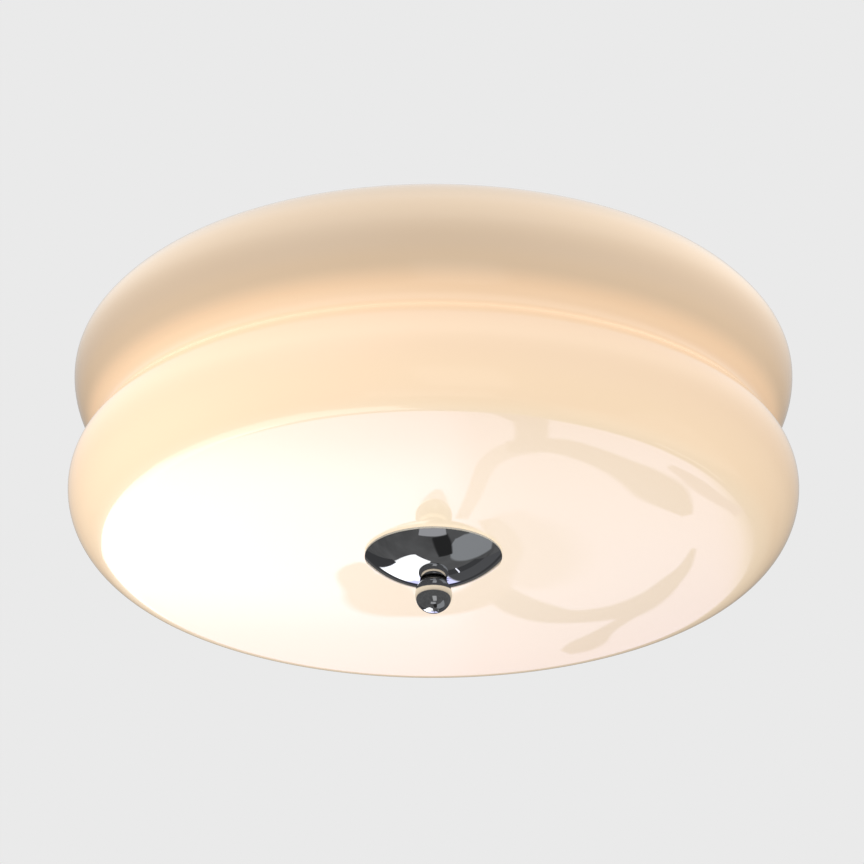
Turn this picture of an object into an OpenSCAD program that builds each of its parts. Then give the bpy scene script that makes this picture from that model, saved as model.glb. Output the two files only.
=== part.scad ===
// Flush ceiling light with a two tier opal glass shade, a chrome cap and a ball finial.
// The origin is the centre of the ceiling face. The light hangs down along -Z. Millimetres.

/* [Shade] */
// Outer radius of the upper tier
upper_tier_r = 197.5; // [194:0.5:199]
// Outer radius of the lower tier
lower_tier_r = 200; // [197:0.5:206]
// Drop from the upper tier's widest line to the lower tier's
tier_pitch = 68; // [64:1:74]
// Thickness of the glass
glass_t = 4; // [3:0.25:5.5]
// Width of the shoulder, from its level top out to the upper tier's widest line
shoulder_w = 51; // [48:0.5:53]
// Height of the shoulder over the upper tier's widest line
shoulder_h = 41; // [37:0.5:44]
// Radius of the shoulder where it turns down into the side
shoulder_nose_r = 30.5; // [27:0.5:33]
// Radius of the upper tier under its widest line
upper_flank_r = 42.5; // [38:0.5:46]
// Radius of the groove between the tiers
waist_r = 10.5; // [8:0.5:13]
// Radius of the lower tier over its widest line
lower_brow_r = 30.5; // [28:0.5:34]
// Radius of the lower tier under its widest line
lower_flank_r = 35.5; // [33:0.5:40]
// Turn of the lower tier's side before the tighter edge of the dish starts
flank_turn = 53; // [45:1:60]
// Radius of the edge between the side and the dish
dish_edge_r = 21; // [17:0.5:24]
// Sag of the dish under its edge
dish_sag = 4; // [2.5:0.25:8]
// Radius of the shade's mouth at the ceiling
mouth_r = 148.5; // [147:0.25:152]
// Radius of the hole in the dish
dish_hole_r = 7; // [6.5:0.25:9]

/* [Pan] */
// Thickness of the pan's sheet steel
pan_t = 0.8; // [0.6:0.1:1.2]
// Depth of the pan's floor under the ceiling
pan_depth = 9; // [8:0.5:12]
// Reach of the pan's flange over the shade's mouth
flange_reach = 2.5; // [2:0.25:4]
// Play between the pan's wall and the shade's mouth
mouth_play = 7.5; // [6.5:0.25:9]
// Inner radius of the pan's bends
pan_bend_r = 3; // [2:0.25:4]
// Distance of the stiffening bead from the pan's wall
bead_inset = 20; // [18:0.5:23]
// Inner radius of the bead's half round section
bead_r = 3; // [2:0.25:4]
// Distance between the two fixing slots
slot_pitch = 180; // [170:1:186]
// Width of a fixing slot
slot_w = 5.2; // [4:0.1:6]
// Length of a fixing slot from end to end
slot_l = 15; // [10:0.5:18]
// Top radius of the raised pad round a slot
pad_r = 13; // [12:0.5:15]
// Growth of the pad's radius down to the floor
pad_flare = 3; // [1:0.5:4]
// Thickness of the soft ring between the pan and the glass
edge_gasket_t = 2; // [1:0.25:4]

/* [Cable entry] */
// Distance of the cable hole from the stiffening bead
grommet_inset = 19; // [16:1:23]
// Radius of the hole that holds the grommet
grommet_hole_r = 6; // [5:0.25:8]
// Radius of the grommet's bore for the house cable
grommet_bore_r = 4; // [3:0.25:4.5]
// Reach of the grommet's lips over its hole
grommet_lip = 3; // [2:0.25:3.5]
// Thickness of each lip
grommet_lip_t = 1.6; // [1:0.1:2.5]

/* [Rod] */
// Radius of the threaded rod
rod_r = 4; // [3:0.5:5]
// Depth of the rod's upper end under the ceiling
rod_top_gap = 2; // [1:0.25:3]
// Width of the rod's nuts across their flats
rod_nut_af = 13; // [11:0.5:16]
// Height of the thin nut over the pan
top_nut_h = 4.5; // [3:0.5:5]
// Height of the nut under the pan
lower_nut_h = 6.5; // [5:0.5:8]
// Thickness of the rod's washers
rod_washer_t = 1.2; // [0.8:0.1:2]
// Reach of the washers over the rod
rod_washer_reach = 4; // [3:0.5:6]

/* [Lampholders] */
// Distance of a lampholder's back from the middle
holder_back_r = 16.3; // [15:0.1:18]
// Height of the lamps' axes under the pan's floor
lamp_drop = 45.2; // [43:0.1:50]
// Distance of each lamp's tip from the shade's mouth
lamp_pass_gap = 8.5; // [6:0.5:10]
// Thickness of the brackets' steel
bracket_t = 1.5; // [1:0.25:2]
// Width of a bracket
bracket_w = 24; // [20:1:26]
// Length of a bracket's foot
bracket_foot = 46; // [44:1:52]
// Inner radius of a bracket's bend
bracket_bend_r = 2; // [1:0.25:4]
// Place of the first rivet along the foot
rivet_first = 22; // [20:1:26]
// Distance between a bracket's rivets
rivet_pitch = 14; // [12:1:16]
// Radius of a rivet's shank
rivet_r = 1.9; // [1.5:0.1:2.4]
// Length of a lampholder
holder_l = 45; // [43:0.5:46]
// Outer radius of the lampholder's barrel
holder_r = 19.5; // [18.5:0.25:21]
// Outer radius of the collar at the lampholder's mouth
holder_collar_r = 20.5; // [19.5:0.25:22]
// Length of the collar
holder_collar_l = 9; // [6:0.5:12]
// Inner radius of the lampholder
holder_bore_r = 14.2; // [14:0.05:15]
// Thickness of the lampholder's floor behind its cavity
holder_floor = 12; // [10:0.5:13]
// Width of the terminal housing behind the barrel
holder_rear_w = 30; // [28:1:32]
// Height of the terminal housing
holder_rear_h = 34; // [32:1:36]
// Thickness of the screw shell in the holder
shell_t = 0.6; // [0.4:0.1:0.8]
// Length of the screw shell in the holder
shell_l = 24; // [20:0.5:26]
// Thickness of the sprung contact strip
contact_t = 0.5; // [0.3:0.1:0.7]
// Height of the sprung contact strip over the holder's inner floor
contact_strip_h = 7.4; // [6:0.2:8]
// Distance between the two screws behind a holder
holder_screw_pitch = 16; // [12:1:20]
// Radius of the screws behind a holder
holder_screw_r = 1.5; // [1.2:0.1:1.8]
// Thickness of the holder's floor left over the end of a screw
screw_floor = 3; // [2:0.5:5]
// Depth of the wire entries in a holder's terminal housing
entry_depth = 3; // [2:0.5:4]
// Distance between two wires in a holder's terminal housing
entry_step = 2.8; // [2.6:0.1:3.4]

/* [Lamps] */
// Radius of the lamp's round globe
globe_r = 30; // [27:0.5:31]
// Radius of the glass where it enters the metal base
globe_neck_r = 12.1; // [11.5:0.1:12.15]
// Length of the glass neck before it widens into the globe
globe_neck_l = 2.6; // [2:0.1:4]
// Thickness of the lamp's glass
globe_t = 1; // [0.6:0.1:1.5]
// Length of the glass neck inside the metal base
neck_insert = 6; // [4:0.5:10]
// Radius of the screw base
base_r = 12.9; // [12.6:0.05:13.1]
// Length of the screw base's metal sleeve
base_l = 22; // [20:0.5:24]
// Thickness of the screw base's sheet
base_t = 0.4; // [0.3:0.1:0.5]
// Length of the insulator under the sleeve
insulator_l = 3; // [2:0.25:4]
// Height of the centre contact
tip_l = 2; // [1:0.25:3]
// Radius of the centre contact
tip_r = 4.8; // [4:0.1:6]
// Length of the cone at the foot of the metal sleeve
cone_l = 4; // [3:0.5:5]

/* [Terminals] */
// Distance of the terminal block from the middle
block_place_r = 66; // [64:1:72]
// Length of the block across its poles
block_w = 36; // [34:1:40]
// Depth of the block along its wire holes
block_d = 17; // [15:0.5:19]
// Height of the block's flat base
block_base_h = 3; // [2:0.5:4]
// Distance between two poles
pole_pitch = 12; // [11:0.5:13]
// Drop of the wire holes under the floor
pole_drop = 7; // [6:0.25:8]
// Outer radius of the housing round a pole
pole_housing_r = 4.8; // [4:0.1:5.4]
// Outer radius of a pole's brass barrel
barrel_r = 2.5; // [2.2:0.1:3]
// Inner radius of a pole's brass barrel
barrel_bore_r = 1.6; // [1.2:0.1:1.8]
// Radius of a terminal screw
terminal_screw_r = 1.3; // [1:0.1:1.5]
// Distance of the earth screw from the middle
earth_place_r = 34; // [32:1:38]
// Radius of the earth screw
earth_screw_r = 2; // [1.5:0.1:2.5]
// Outer radius of an insulated inner wire
lead_r = 1.1; // [0.8:0.1:1.2]
// Drop of the neutral wires' run under the live wires' run
run_drop = 4.2; // [3:0.1:6]

/* [Cap and finial] */
// Radius of the cap's rim
cap_r = 37.5; // [34:0.5:42]
// Depth of the cap's dome
cap_h = 14.5; // [12:0.5:18]
// Thickness of the cap's sheet
cap_t = 1.2; // [0.8:0.1:1.6]
// Thickness of the soft ring under the cap's rim
cap_gasket_t = 1.4; // [0.8:0.1:2]
// Width of the soft ring under the cap's rim
cap_gasket_w = 3.5; // [3:0.25:5]
// Reach of the bush's flange over the hole in the dish
bush_flange = 5; // [3:0.5:6]
// Thickness of the friction washer over the finial
finial_washer_t = 0.8; // [0.6:0.1:2]
// Radius of the finial's neck
neck_r = 7.5; // [6.5:0.25:8.5]
// Height of the finial's neck to where it meets the ball
neck_h = 0.5; // [0.3:0.1:3]
// Radius of the finial's ball
ball_r = 10.25; // [9:0.25:12]
// Depth of the rod's end past the ball's middle
rod_bite = 1; // [0:0.5:3]

/* [Clearances] */
// Rest gap between pieces that come apart
seat_gap = 0.3; // [0.25:0.05:0.4]
// Radial play of a thread or a screw in its hole
screw_play = 0.06; // [0.04:0.01:0.1]
// Gap between flat faces that meet and part
face_gap = 0.05; // [0.02:0.01:0.1]

/* [Hidden] */

// Smoothness of large rounds, small rounds and the nearly flat dish
large_fn = 144;
small_fn = 48;
dish_fn = 720;
// Facets round a wire, steps round its corners, and the reach of a corner's curve
lead_facets = 8;
corner_steps = 4;
lead_corner = 1.6;
// Overshoot of a cut past the face that it opens
cut = 1;

// Pan levels and radii
flange_r = mouth_r + flange_reach;
pan_wall_r = mouth_r - mouth_play;
bead_ring_r = pan_wall_r - bead_inset;
grommet_place_r = bead_ring_r - grommet_inset;
floor_top_z = -pan_depth;
floor_z = floor_top_z - pan_t;

// Shade levels, from the ceiling down
shade_top_z = -pan_t - edge_gasket_t - seat_gap;
upper_z = shade_top_z - shoulder_h;
lower_z = upper_z - tier_pitch;

// The shoulder is a quarter of a two arc oval: a wide arc that runs into a nose
shoulder_fall = (pow(shoulder_w - shoulder_nose_r, 2) - pow(shoulder_h - shoulder_nose_r, 2))
    / (2 * (shoulder_h - shoulder_nose_r));
shoulder_r = shoulder_h + shoulder_fall;
shoulder_turn = atan2(shoulder_fall, shoulder_w - shoulder_nose_r);
shoulder_c = [upper_tier_r - shoulder_w, upper_z - shoulder_fall];
nose_c = [upper_tier_r - shoulder_nose_r, upper_z];

// The groove's arc touches the arcs of both tiers
upper_flank_c = [upper_tier_r - upper_flank_r, upper_z];
lower_brow_c = [lower_tier_r - lower_brow_r, lower_z];
waist_c = outer_meet(upper_flank_c, lower_brow_c, upper_flank_r + waist_r, lower_brow_r + waist_r);
upper_flank_end = heading(upper_flank_c, waist_c);
lower_brow_start = heading(lower_brow_c, waist_c);

// The side runs through a tighter edge into the dish, which is part of a large sphere
lower_flank_c = [lower_tier_r - lower_flank_r, lower_z];
dish_edge_c = on_arc(lower_flank_c, lower_flank_r - dish_edge_r, -flank_turn);
dish_z = dish_edge_c.y - dish_edge_r - dish_sag;
dish_r = (pow(dish_edge_c.x, 2) + pow(dish_edge_r + dish_sag, 2) - pow(dish_edge_r, 2)) / (2 * dish_sag);
dish_c = [0, dish_z + dish_r];
dish_edge_end = heading(dish_c, dish_edge_c);

// Lamp places. The lamps are as long as the shade's mouth lets past
lamp_z = floor_z - lamp_drop;
lamp_contact_h = holder_floor + contact_strip_h + seat_gap;
lamp_tip_h = mouth_r - lamp_pass_gap - holder_back_r;
sleeve_start_h = lamp_contact_h + tip_l + insulator_l;
sleeve_end_h = sleeve_start_h + base_l;
globe_centre_h = lamp_tip_h - globe_r;
neck_start_h = sleeve_end_h - neck_insert;
neck_end_h = neck_start_h + globe_neck_l;

// The hollow curve from the neck to the globe touches both
globe_fillet_r = (pow(globe_centre_h - neck_end_h, 2) + pow(globe_neck_r, 2) - pow(globe_r, 2))
    / (2 * (globe_r - globe_neck_r));
holder_screw_l = holder_floor - screw_floor;
rivet_places = [rivet_first, rivet_first + rivet_pitch];

// Cap and finial levels, from the dish down
cap_gasket_in_r = cap_r - cap_gasket_w;
gasket_top_z = dish_bottom(cap_gasket_in_r) - face_gap;
cap_rim_z = gasket_top_z - cap_gasket_t;
cap_apex_z = cap_rim_z - cap_h;
cap_sphere_r = (cap_r * cap_r + cap_h * cap_h) / (2 * cap_h);
finial_washer_z = cap_apex_z - face_gap;
neck_top_z = finial_washer_z - finial_washer_t - face_gap;
ball_z = neck_top_z - neck_h - sqrt(ball_r * ball_r - neck_r * neck_r);
rod_end_z = ball_z - rod_bite;

// Turn of each lamp, and of the terminals, round the rod
lamp_turns = [90, 210, 330];
terminal_turn = 150;

// Terminal pieces
fixing_head_r = 1.8 * terminal_screw_r;
earth_washer_r = 2.4 * earth_screw_r;
block_face_r = block_place_r - block_d / 2;

// Levels of the wire runs under the floor: the live wires leave straight, the neutral ones drop first
live_run_z = floor_z - pole_drop;
neutral_run_z = live_run_z - run_drop;
entry_z = lamp_z + holder_rear_h / 2;
// Wire entries in a terminal housing: how far in from its back, and how far off the lamp's axis
live_entry_l = 4.5;
neutral_entry_l = 10.5;
entry_side = 9;
live_entries = [[live_entry_l, entry_side], [live_entry_l, entry_side - entry_step]];
neutral_entries = [[neutral_entry_l, -entry_side], [neutral_entry_l, entry_step - entry_side]];
// Start of a wire inside the block, and the two corners where it leaves
lead_start_r = block_face_r + 0.8;
lead_turn_r = block_face_r - 7;
lead_drop_r = lead_turn_r - 4;
// Half the distance between two wires that share a pole
pair_half = 1.4;
// Bends of the link wires on their way round the rod, between two brackets
lead_bend_turn = 30;
live_bend_r = 36;
neutral_bend_r = 44;

// Point on an arc about c
function on_arc(c, r, a) = c + r * [cos(a), sin(a)];
// Direction from a to b
function heading(a, b) = atan2(b.y - a.y, b.x - a.x);
// Point ra from a and rb from b, on the side away from the axis
function outer_meet(a, b, ra, rb) =
    let (d = norm(b - a), e = (b - a) / d, x = (ra * ra - rb * rb + d * d) / (2 * d))
    a + e * x + [-e.y, e.x] * sqrt(ra * ra - x * x);
// Height of the dish's lower face at a radius
function dish_bottom(r) = dish_c.y - sqrt(dish_r * dish_r - r * r);
// Vector of length one
function unit(v) = v / norm(v);
// Points turned round the rod
function turned(p, a) = [p.x * cos(a) - p.y * sin(a), p.x * sin(a) + p.y * cos(a), p.z];
function turned_all(points, a) = [for (p = points) turned(p, a)];

// Slice of a disc between two directions
module pie(c, r, from, to, fn = large_fn) {
    middle = (from + to) / 2;
    intersection() {
        translate(c) circle(r, $fn = fn);
        polygon([c, on_arc(c, 1.5 * r, from), on_arc(c, 1.5 * r, middle), on_arc(c, 1.5 * r, to)]);
    }
}

// Quarter of a ring that starts at a given direction, for bent sheet
module bend(c, r, t, from) {
    difference() {
        pie(c, r + t, from, from + 90, small_fn);
        translate(c) circle(r, $fn = small_fn);
    }
}

// Half section of the shade's outline, moved inwards by inset
module shade_region(inset) {
    edge_end = on_arc(dish_edge_c, dish_edge_r - inset, dish_edge_end);
    shoulder_top = on_arc(shoulder_c, shoulder_r - inset, 90);
    difference() {
        union() {
            polygon([
                [0, edge_end.y],
                edge_end,
                on_arc(lower_flank_c, lower_flank_r - inset, -flank_turn),
                on_arc(lower_brow_c, lower_brow_r - inset, 0),
                on_arc(lower_brow_c, lower_brow_r - inset, lower_brow_start),
                on_arc(upper_flank_c, upper_flank_r - inset, upper_flank_end),
                on_arc(nose_c, shoulder_nose_r - inset, 0),
                on_arc(shoulder_c, shoulder_r - inset, shoulder_turn),
                shoulder_top,
                [0, shoulder_top.y]
            ]);
            pie(shoulder_c, shoulder_r - inset, shoulder_turn, 90);
            pie(nose_c, shoulder_nose_r - inset, 0, shoulder_turn);
            pie(upper_flank_c, upper_flank_r - inset, upper_flank_end, 0);
            pie(lower_brow_c, lower_brow_r - inset, 0, lower_brow_start);
            pie(lower_flank_c, lower_flank_r - inset, -flank_turn, 0);
            pie(dish_edge_c, dish_edge_r - inset, dish_edge_end, -flank_turn);
            intersection() {
                translate(dish_c) circle(dish_r - inset, $fn = dish_fn);
                translate([0, dish_z - cut]) square([edge_end.x, edge_end.y - dish_z + 2 * cut]);
            }
        }
        translate(waist_c) circle(waist_r + inset, $fn = large_fn);
    }
}

// Hexagon nut round the Z axis, with the corners turned off at both ends
module hex_nut(af, h, bore_r) {
    corner_r = af / sqrt(3);
    corner_drop = (corner_r - af / 2) * tan(30);
    difference() {
        intersection() {
            cylinder(h = h, r = corner_r, $fn = 6);
            rotate_extrude($fn = small_fn)
                polygon([[0, 0], [af / 2, 0], [corner_r + cut, corner_drop + cut * tan(30)],
                         [corner_r + cut, h - corner_drop - cut * tan(30)], [af / 2, h], [0, h]]);
        }
        translate([0, 0, -cut]) cylinder(h = h + 2 * cut, r = bore_r, $fn = small_fn);
    }
}

// Flat ring on the XY plane
module ring(r_in, r_out, h, fn = small_fn) {
    difference() {
        cylinder(h = h, r = r_out, $fn = fn);
        translate([0, 0, -cut]) cylinder(h = h + 2 * cut, r = r_in, $fn = fn);
    }
}

// Screw along +Z: the head stands below Z = 0 and the shank above it
module screw(r, l, head_r, head_h, slot = 0.8) {
    difference() {
        union() {
            cylinder(h = l, r = r, $fn = small_fn);
            translate([0, 0, -head_h])
                cylinder(h = head_h, r1 = head_r - head_h / 3, r2 = head_r, $fn = small_fn);
        }
        translate([-head_r, -slot / 2, -head_h - cut]) cube([2 * head_r, slot, head_h / 2 + cut]);
    }
}

// Points that round the corner at b, reach before it and after it
function rounded_corner(a, b, c, reach) =
    let (start = b + unit(a - b) * reach, end = b + unit(c - b) * reach)
    [for (t = [0:1 / corner_steps:1]) (1 - t) * (1 - t) * start + 2 * t * (1 - t) * b + t * t * end];

// A route with its corners rounded
function smooth(route, reach) = concat(
    [route[0]],
    [for (i = [1:len(route) - 2]) each rounded_corner(route[i - 1], route[i], route[i + 1], reach)],
    [route[len(route) - 1]]);

// Direction of a path at each of its points
function path_headings(path) = [for (i = [0:len(path) - 1])
    unit(path[min(i + 1, len(path) - 1)] - path[max(i - 1, 0)])];

// Side vector at each point of a path, carried along with as little twist as can be
function path_sides(headings) = [for (i = 0, s = unit(cross(headings[0], [0.3, 0.5, 0.8]));
    i < len(headings);
    i = i + 1, s = i < len(headings) ? unit(s - headings[i] * (s * headings[i])) : s) s];

// Round insulated wire along a route
module lead(route) {
    path = smooth(route, lead_corner);
    headings = path_headings(path);
    sides = path_sides(headings);
    rings = [for (i = [0:len(path) - 1]) let (up = cross(headings[i], sides[i]))
        for (k = [0:lead_facets - 1])
            path[i] + lead_r * (cos(k * 360 / lead_facets) * sides[i] + sin(k * 360 / lead_facets) * up)];
    last = (len(path) - 1) * lead_facets;
    polyhedron(rings, concat(
        [[for (k = [0:lead_facets - 1]) k]],
        [for (i = [0:len(path) - 2], k = [0:lead_facets - 1])
            let (a = i * lead_facets + k, b = i * lead_facets + (k + 1) % lead_facets)
            [b, a, a + lead_facets, b + lead_facets]],
        [[for (k = [lead_facets - 1:-1:0]) last + k]]
    ));
}

// Place at a lamp: X runs out along its axis from the back of the holder
module at_lamp(i) {
    rotate([0, 0, lamp_turns[i]]) translate([holder_back_r, 0, lamp_z]) children();
}

// Body of revolution about a lamp's axis
module lamp_turning(i) {
    at_lamp(i) rotate([0, 90, 0]) rotate_extrude($fn = large_fn / 2) children();
}

// Places of the two fixing slots
module at_slots() {
    for (side = [-1, 1]) translate([side * slot_pitch / 2, 0, 0]) children();
}

// Places of the rivets under the pan's floor
module at_rivets() {
    for (turn = lamp_turns, x = rivet_places)
        rotate([0, 0, turn]) translate([holder_back_r + x, 0, floor_z]) children();
}

// Place of the terminal block, with X out from the rod
module at_terminals() {
    rotate([0, 0, terminal_turn]) translate([block_place_r, 0, floor_z]) children();
}

module at_poles() {
    for (pole = [-1, 0, 1]) translate([0, pole * pole_pitch, -pole_drop]) children();
}

module at_pole_screws() {
    for (side = [-1, 1]) at_poles() translate([side * block_d / 4, 0, 0]) children();
}

// Half section of the pan: flange, wall, floor and stiffening bead
module pan_section() {
    upper_bend_c = [pan_wall_r + pan_bend_r, -pan_t - pan_bend_r];
    lower_bend_c = [pan_wall_r - pan_t - pan_bend_r, floor_top_z + pan_bend_r];
    difference() {
        union() {
            translate([upper_bend_c.x, -pan_t]) square([flange_r - upper_bend_c.x, pan_t]);
            bend(upper_bend_c, pan_bend_r, pan_t, 90);
            translate([pan_wall_r - pan_t, lower_bend_c.y])
                square([pan_t, upper_bend_c.y - lower_bend_c.y]);
            bend(lower_bend_c, pan_bend_r, pan_t, 270);
            translate([0, floor_z]) square([lower_bend_c.x, pan_t]);
            intersection() {
                translate([bead_ring_r, floor_top_z]) circle(bead_r + pan_t, $fn = small_fn);
                translate([0, floor_z - 2 * bead_r]) square([flange_r, 2 * bead_r + pan_t]);
            }
        }
        translate([bead_ring_r, floor_top_z]) circle(bead_r, $fn = small_fn);
    }
}

module slot_cut() {
    half = (slot_l - slot_w) / 2;
    translate([0, 0, -pan_t - cut]) {
        translate([-half, -slot_w / 2, 0]) cube([2 * half, slot_w, pan_t + 2 * cut]);
        for (side = [-1, 1]) translate([side * half, 0, 0])
            cylinder(h = pan_t + 2 * cut, r = slot_w / 2, $fn = small_fn);
    }
}

// Pressed steel pan that is screwed to the ceiling
module base_plate() {
    pad_wall = 1.2 * pan_t;
    color("whitesmoke") difference() {
        union() {
            rotate_extrude($fn = large_fn) pan_section();
            at_slots() translate([0, 0, floor_top_z])
                cylinder(h = pan_depth, r1 = pad_r + pad_flare, r2 = pad_r, $fn = small_fn);
        }
        at_slots() {
            translate([0, 0, floor_z]) cylinder(h = pan_depth, r1 = pad_r + pad_flare - pad_wall,
                                                r2 = pad_r - pad_wall, $fn = small_fn);
            slot_cut();
        }
        translate([0, 0, floor_z - cut]) {
            cylinder(h = pan_t + 2 * cut, r = rod_r + screw_play, $fn = small_fn);
            rotate([0, 0, terminal_turn]) {
                translate([grommet_place_r, 0, 0])
                    cylinder(h = pan_t + 2 * cut, r = grommet_hole_r, $fn = small_fn);
                translate([earth_place_r, 0, 0])
                    cylinder(h = pan_t + 2 * cut, r = earth_screw_r + screw_play, $fn = small_fn);
                translate([block_place_r, pole_pitch / 2, 0])
                    cylinder(h = pan_t + 2 * cut, r = terminal_screw_r + screw_play, $fn = small_fn);
            }
        }
        at_rivets() translate([0, 0, -cut])
            cylinder(h = pan_t + 2 * cut, r = rivet_r + screw_play, $fn = small_fn);
    }
}

// Soft ring that the shade's top edge bears on
module edge_gasket() {
    inner_r = pan_wall_r + pan_bend_r;
    color("gainsboro") translate([0, 0, -pan_t - edge_gasket_t])
        ring(inner_r, flange_r, edge_gasket_t, large_fn);
}

// Rubber grommet with a lip on each side of the pan's floor
module cable_grommet() {
    lip_r = grommet_hole_r + grommet_lip;
    color("dimgray") rotate([0, 0, terminal_turn]) translate([grommet_place_r, 0, 0])
        rotate_extrude($fn = small_fn) difference() {
            union() {
                for (z = [floor_top_z, floor_z - grommet_lip_t]) {
                    translate([0, z]) square([lip_r - grommet_lip_t / 2, grommet_lip_t]);
                    translate([lip_r - grommet_lip_t / 2, z + grommet_lip_t / 2])
                        circle(grommet_lip_t / 2, $fn = small_fn);
                }
                translate([0, floor_z]) square([grommet_hole_r - face_gap, pan_t]);
            }
            translate([-cut, floor_z - grommet_lip_t - cut])
                square([cut + grommet_bore_r, pan_t + 2 * grommet_lip_t + 2 * cut]);
        }
}

// Threaded rod from the pan down into the finial, with turned ends
module centre_rod() {
    rod_l = -rod_top_gap - rod_end_z;
    lead_in = 0.8;
    color("silver") translate([0, 0, rod_end_z]) {
        cylinder(h = lead_in, r1 = rod_r - lead_in, r2 = rod_r, $fn = small_fn);
        translate([0, 0, lead_in]) cylinder(h = rod_l - 2 * lead_in, r = rod_r, $fn = small_fn);
        translate([0, 0, rod_l - lead_in])
            cylinder(h = lead_in, r1 = rod_r, r2 = rod_r - lead_in, $fn = small_fn);
    }
}

module rod_top_washer() {
    color("silver") translate([0, 0, floor_top_z])
        ring(rod_r + screw_play, rod_r + rod_washer_reach, rod_washer_t);
}

module rod_top_nut() {
    color("silver") translate([0, 0, floor_top_z + rod_washer_t])
        hex_nut(rod_nut_af, top_nut_h, rod_r + screw_play);
}

// Split spring washer
module rod_lock_washer() {
    split = 1;
    outer_r = rod_r + 0.75 * rod_washer_reach;
    color("silver") translate([0, 0, floor_z - rod_washer_t]) difference() {
        ring(rod_r + screw_play, outer_r, rod_washer_t);
        translate([0, -split / 2, -cut]) cube([outer_r + cut, split, rod_washer_t + 2 * cut]);
    }
}

module rod_lower_nut() {
    color("silver") translate([0, 0, floor_z - rod_washer_t - lower_nut_h])
        hex_nut(rod_nut_af, lower_nut_h, rod_r + screw_play);
}

// Steel angle: a foot under the pan's floor and an upright behind the holder
module lamp_bracket(i) {
    half_w = bracket_w / 2;
    foot_z = floor_z - bracket_t;
    bend_c = [bracket_bend_r, foot_z - bracket_bend_r];
    upright_h = floor_z - lamp_z + half_w;
    color("whitesmoke") rotate([0, 0, lamp_turns[i]]) translate([holder_back_r, 0, 0]) difference() {
        intersection() {
            rotate([90, 0, 0]) linear_extrude(bracket_w, center = true) {
                translate([bend_c.x, foot_z]) square([bracket_foot - bend_c.x, bracket_t]);
                bend(bend_c, bracket_bend_r, bracket_t, 90);
                translate([-bracket_t, lamp_z - half_w]) square([bracket_t, bend_c.y - lamp_z + half_w]);
            }
            union() {
                translate([-bracket_t, 0, lamp_z]) rotate([0, 90, 0])
                    cylinder(h = bracket_foot, r = half_w, $fn = small_fn);
                translate([-bracket_t, -half_w, lamp_z]) cube([bracket_foot - half_w, bracket_w, upright_h]);
                translate([bracket_foot - half_w, 0, lamp_z])
                    cylinder(h = upright_h, r = half_w, $fn = small_fn);
            }
        }
        for (x = rivet_places) translate([x, 0, foot_z - cut])
            cylinder(h = bracket_t + 2 * cut, r = rivet_r + screw_play, $fn = small_fn);
        for (side = [-1, 1]) translate([-bracket_t - cut, 0, lamp_z + side * holder_screw_pitch / 2])
            rotate([0, 90, 0])
                cylinder(h = bracket_t + 2 * cut, r = holder_screw_r + screw_play, $fn = small_fn);
    }
}

// Rivets that hold the brackets' feet to the pan, with a round head below
module bracket_rivets() {
    head_r = 1.9 * rivet_r;
    head_h = 1.4;
    tail_r = 1.6 * rivet_r;
    tail_h = 1.1;
    head_sphere_r = (head_r * head_r + head_h * head_h) / (2 * head_h);
    color("silver") at_rivets() {
        translate([0, 0, -bracket_t]) cylinder(h = bracket_t + pan_t, r = rivet_r, $fn = small_fn);
        translate([0, 0, pan_t]) cylinder(h = tail_h, r = tail_r, $fn = small_fn);
        translate([0, 0, -bracket_t]) rotate_extrude($fn = small_fn) intersection() {
            translate([0, head_sphere_r - head_h]) circle(head_sphere_r, $fn = small_fn);
            translate([0, -head_h]) square([head_r, head_h]);
        }
    }
}

// Moulded lampholder: a terminal housing, a barrel and a collar round its mouth
module holder_body(i) {
    barrel_start = holder_floor + 2;
    collar_start = holder_l - holder_collar_l;
    rear_step = 3;
    chamfer = 1;
    entry_play = 0.2;
    color("ivory") difference() {
        union() {
            lamp_turning(i) polygon([
                [0, 0], [holder_r - rear_step - chamfer, 0], [holder_r - rear_step, chamfer],
                [holder_r - rear_step, barrel_start - rear_step], [holder_r, barrel_start + rear_step],
                [holder_r, collar_start - chamfer], [holder_collar_r, collar_start],
                [holder_collar_r, holder_l - chamfer], [holder_collar_r - chamfer, holder_l],
                [0, holder_l]
            ]);
            at_lamp(i) intersection() {
                translate([0, -holder_rear_w / 2, -holder_rear_h / 2])
                    cube([barrel_start, holder_rear_w, holder_rear_h]);
                rotate([0, 90, 0]) cylinder(h = barrel_start, r = holder_collar_r, $fn = large_fn / 2);
            }
        }
        lamp_turning(i) polygon([
            [0, holder_floor], [holder_bore_r, holder_floor], [holder_bore_r, holder_l - chamfer],
            [holder_bore_r + chamfer, holder_l], [holder_bore_r + chamfer, holder_l + cut],
            [0, holder_l + cut]
        ]);
        at_lamp(i) {
            for (side = [-1, 1]) translate([-cut, 0, side * holder_screw_pitch / 2]) rotate([0, 90, 0])
                cylinder(h = holder_screw_l + cut, r = holder_screw_r + screw_play, $fn = small_fn);
            for (entry = concat(live_entries, neutral_entries))
                translate([entry.x, entry.y, holder_rear_h / 2 - entry_depth])
                    cylinder(h = entry_depth + cut, r = lead_r + entry_play, $fn = small_fn);
        }
    }
}

// Sheet metal screw shell with a turned in foot
module holder_shell(i) {
    foot_w = 3;
    outer_r = holder_bore_r - 2 * face_gap;
    foot_h = holder_floor + contact_t + face_gap;
    foot_in_r = outer_r - foot_w;
    color("silver") lamp_turning(i) {
        translate([foot_in_r, foot_h]) square([outer_r - foot_in_r, shell_t]);
        translate([outer_r - shell_t, foot_h]) square([shell_t, shell_l]);
    }
}

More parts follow.
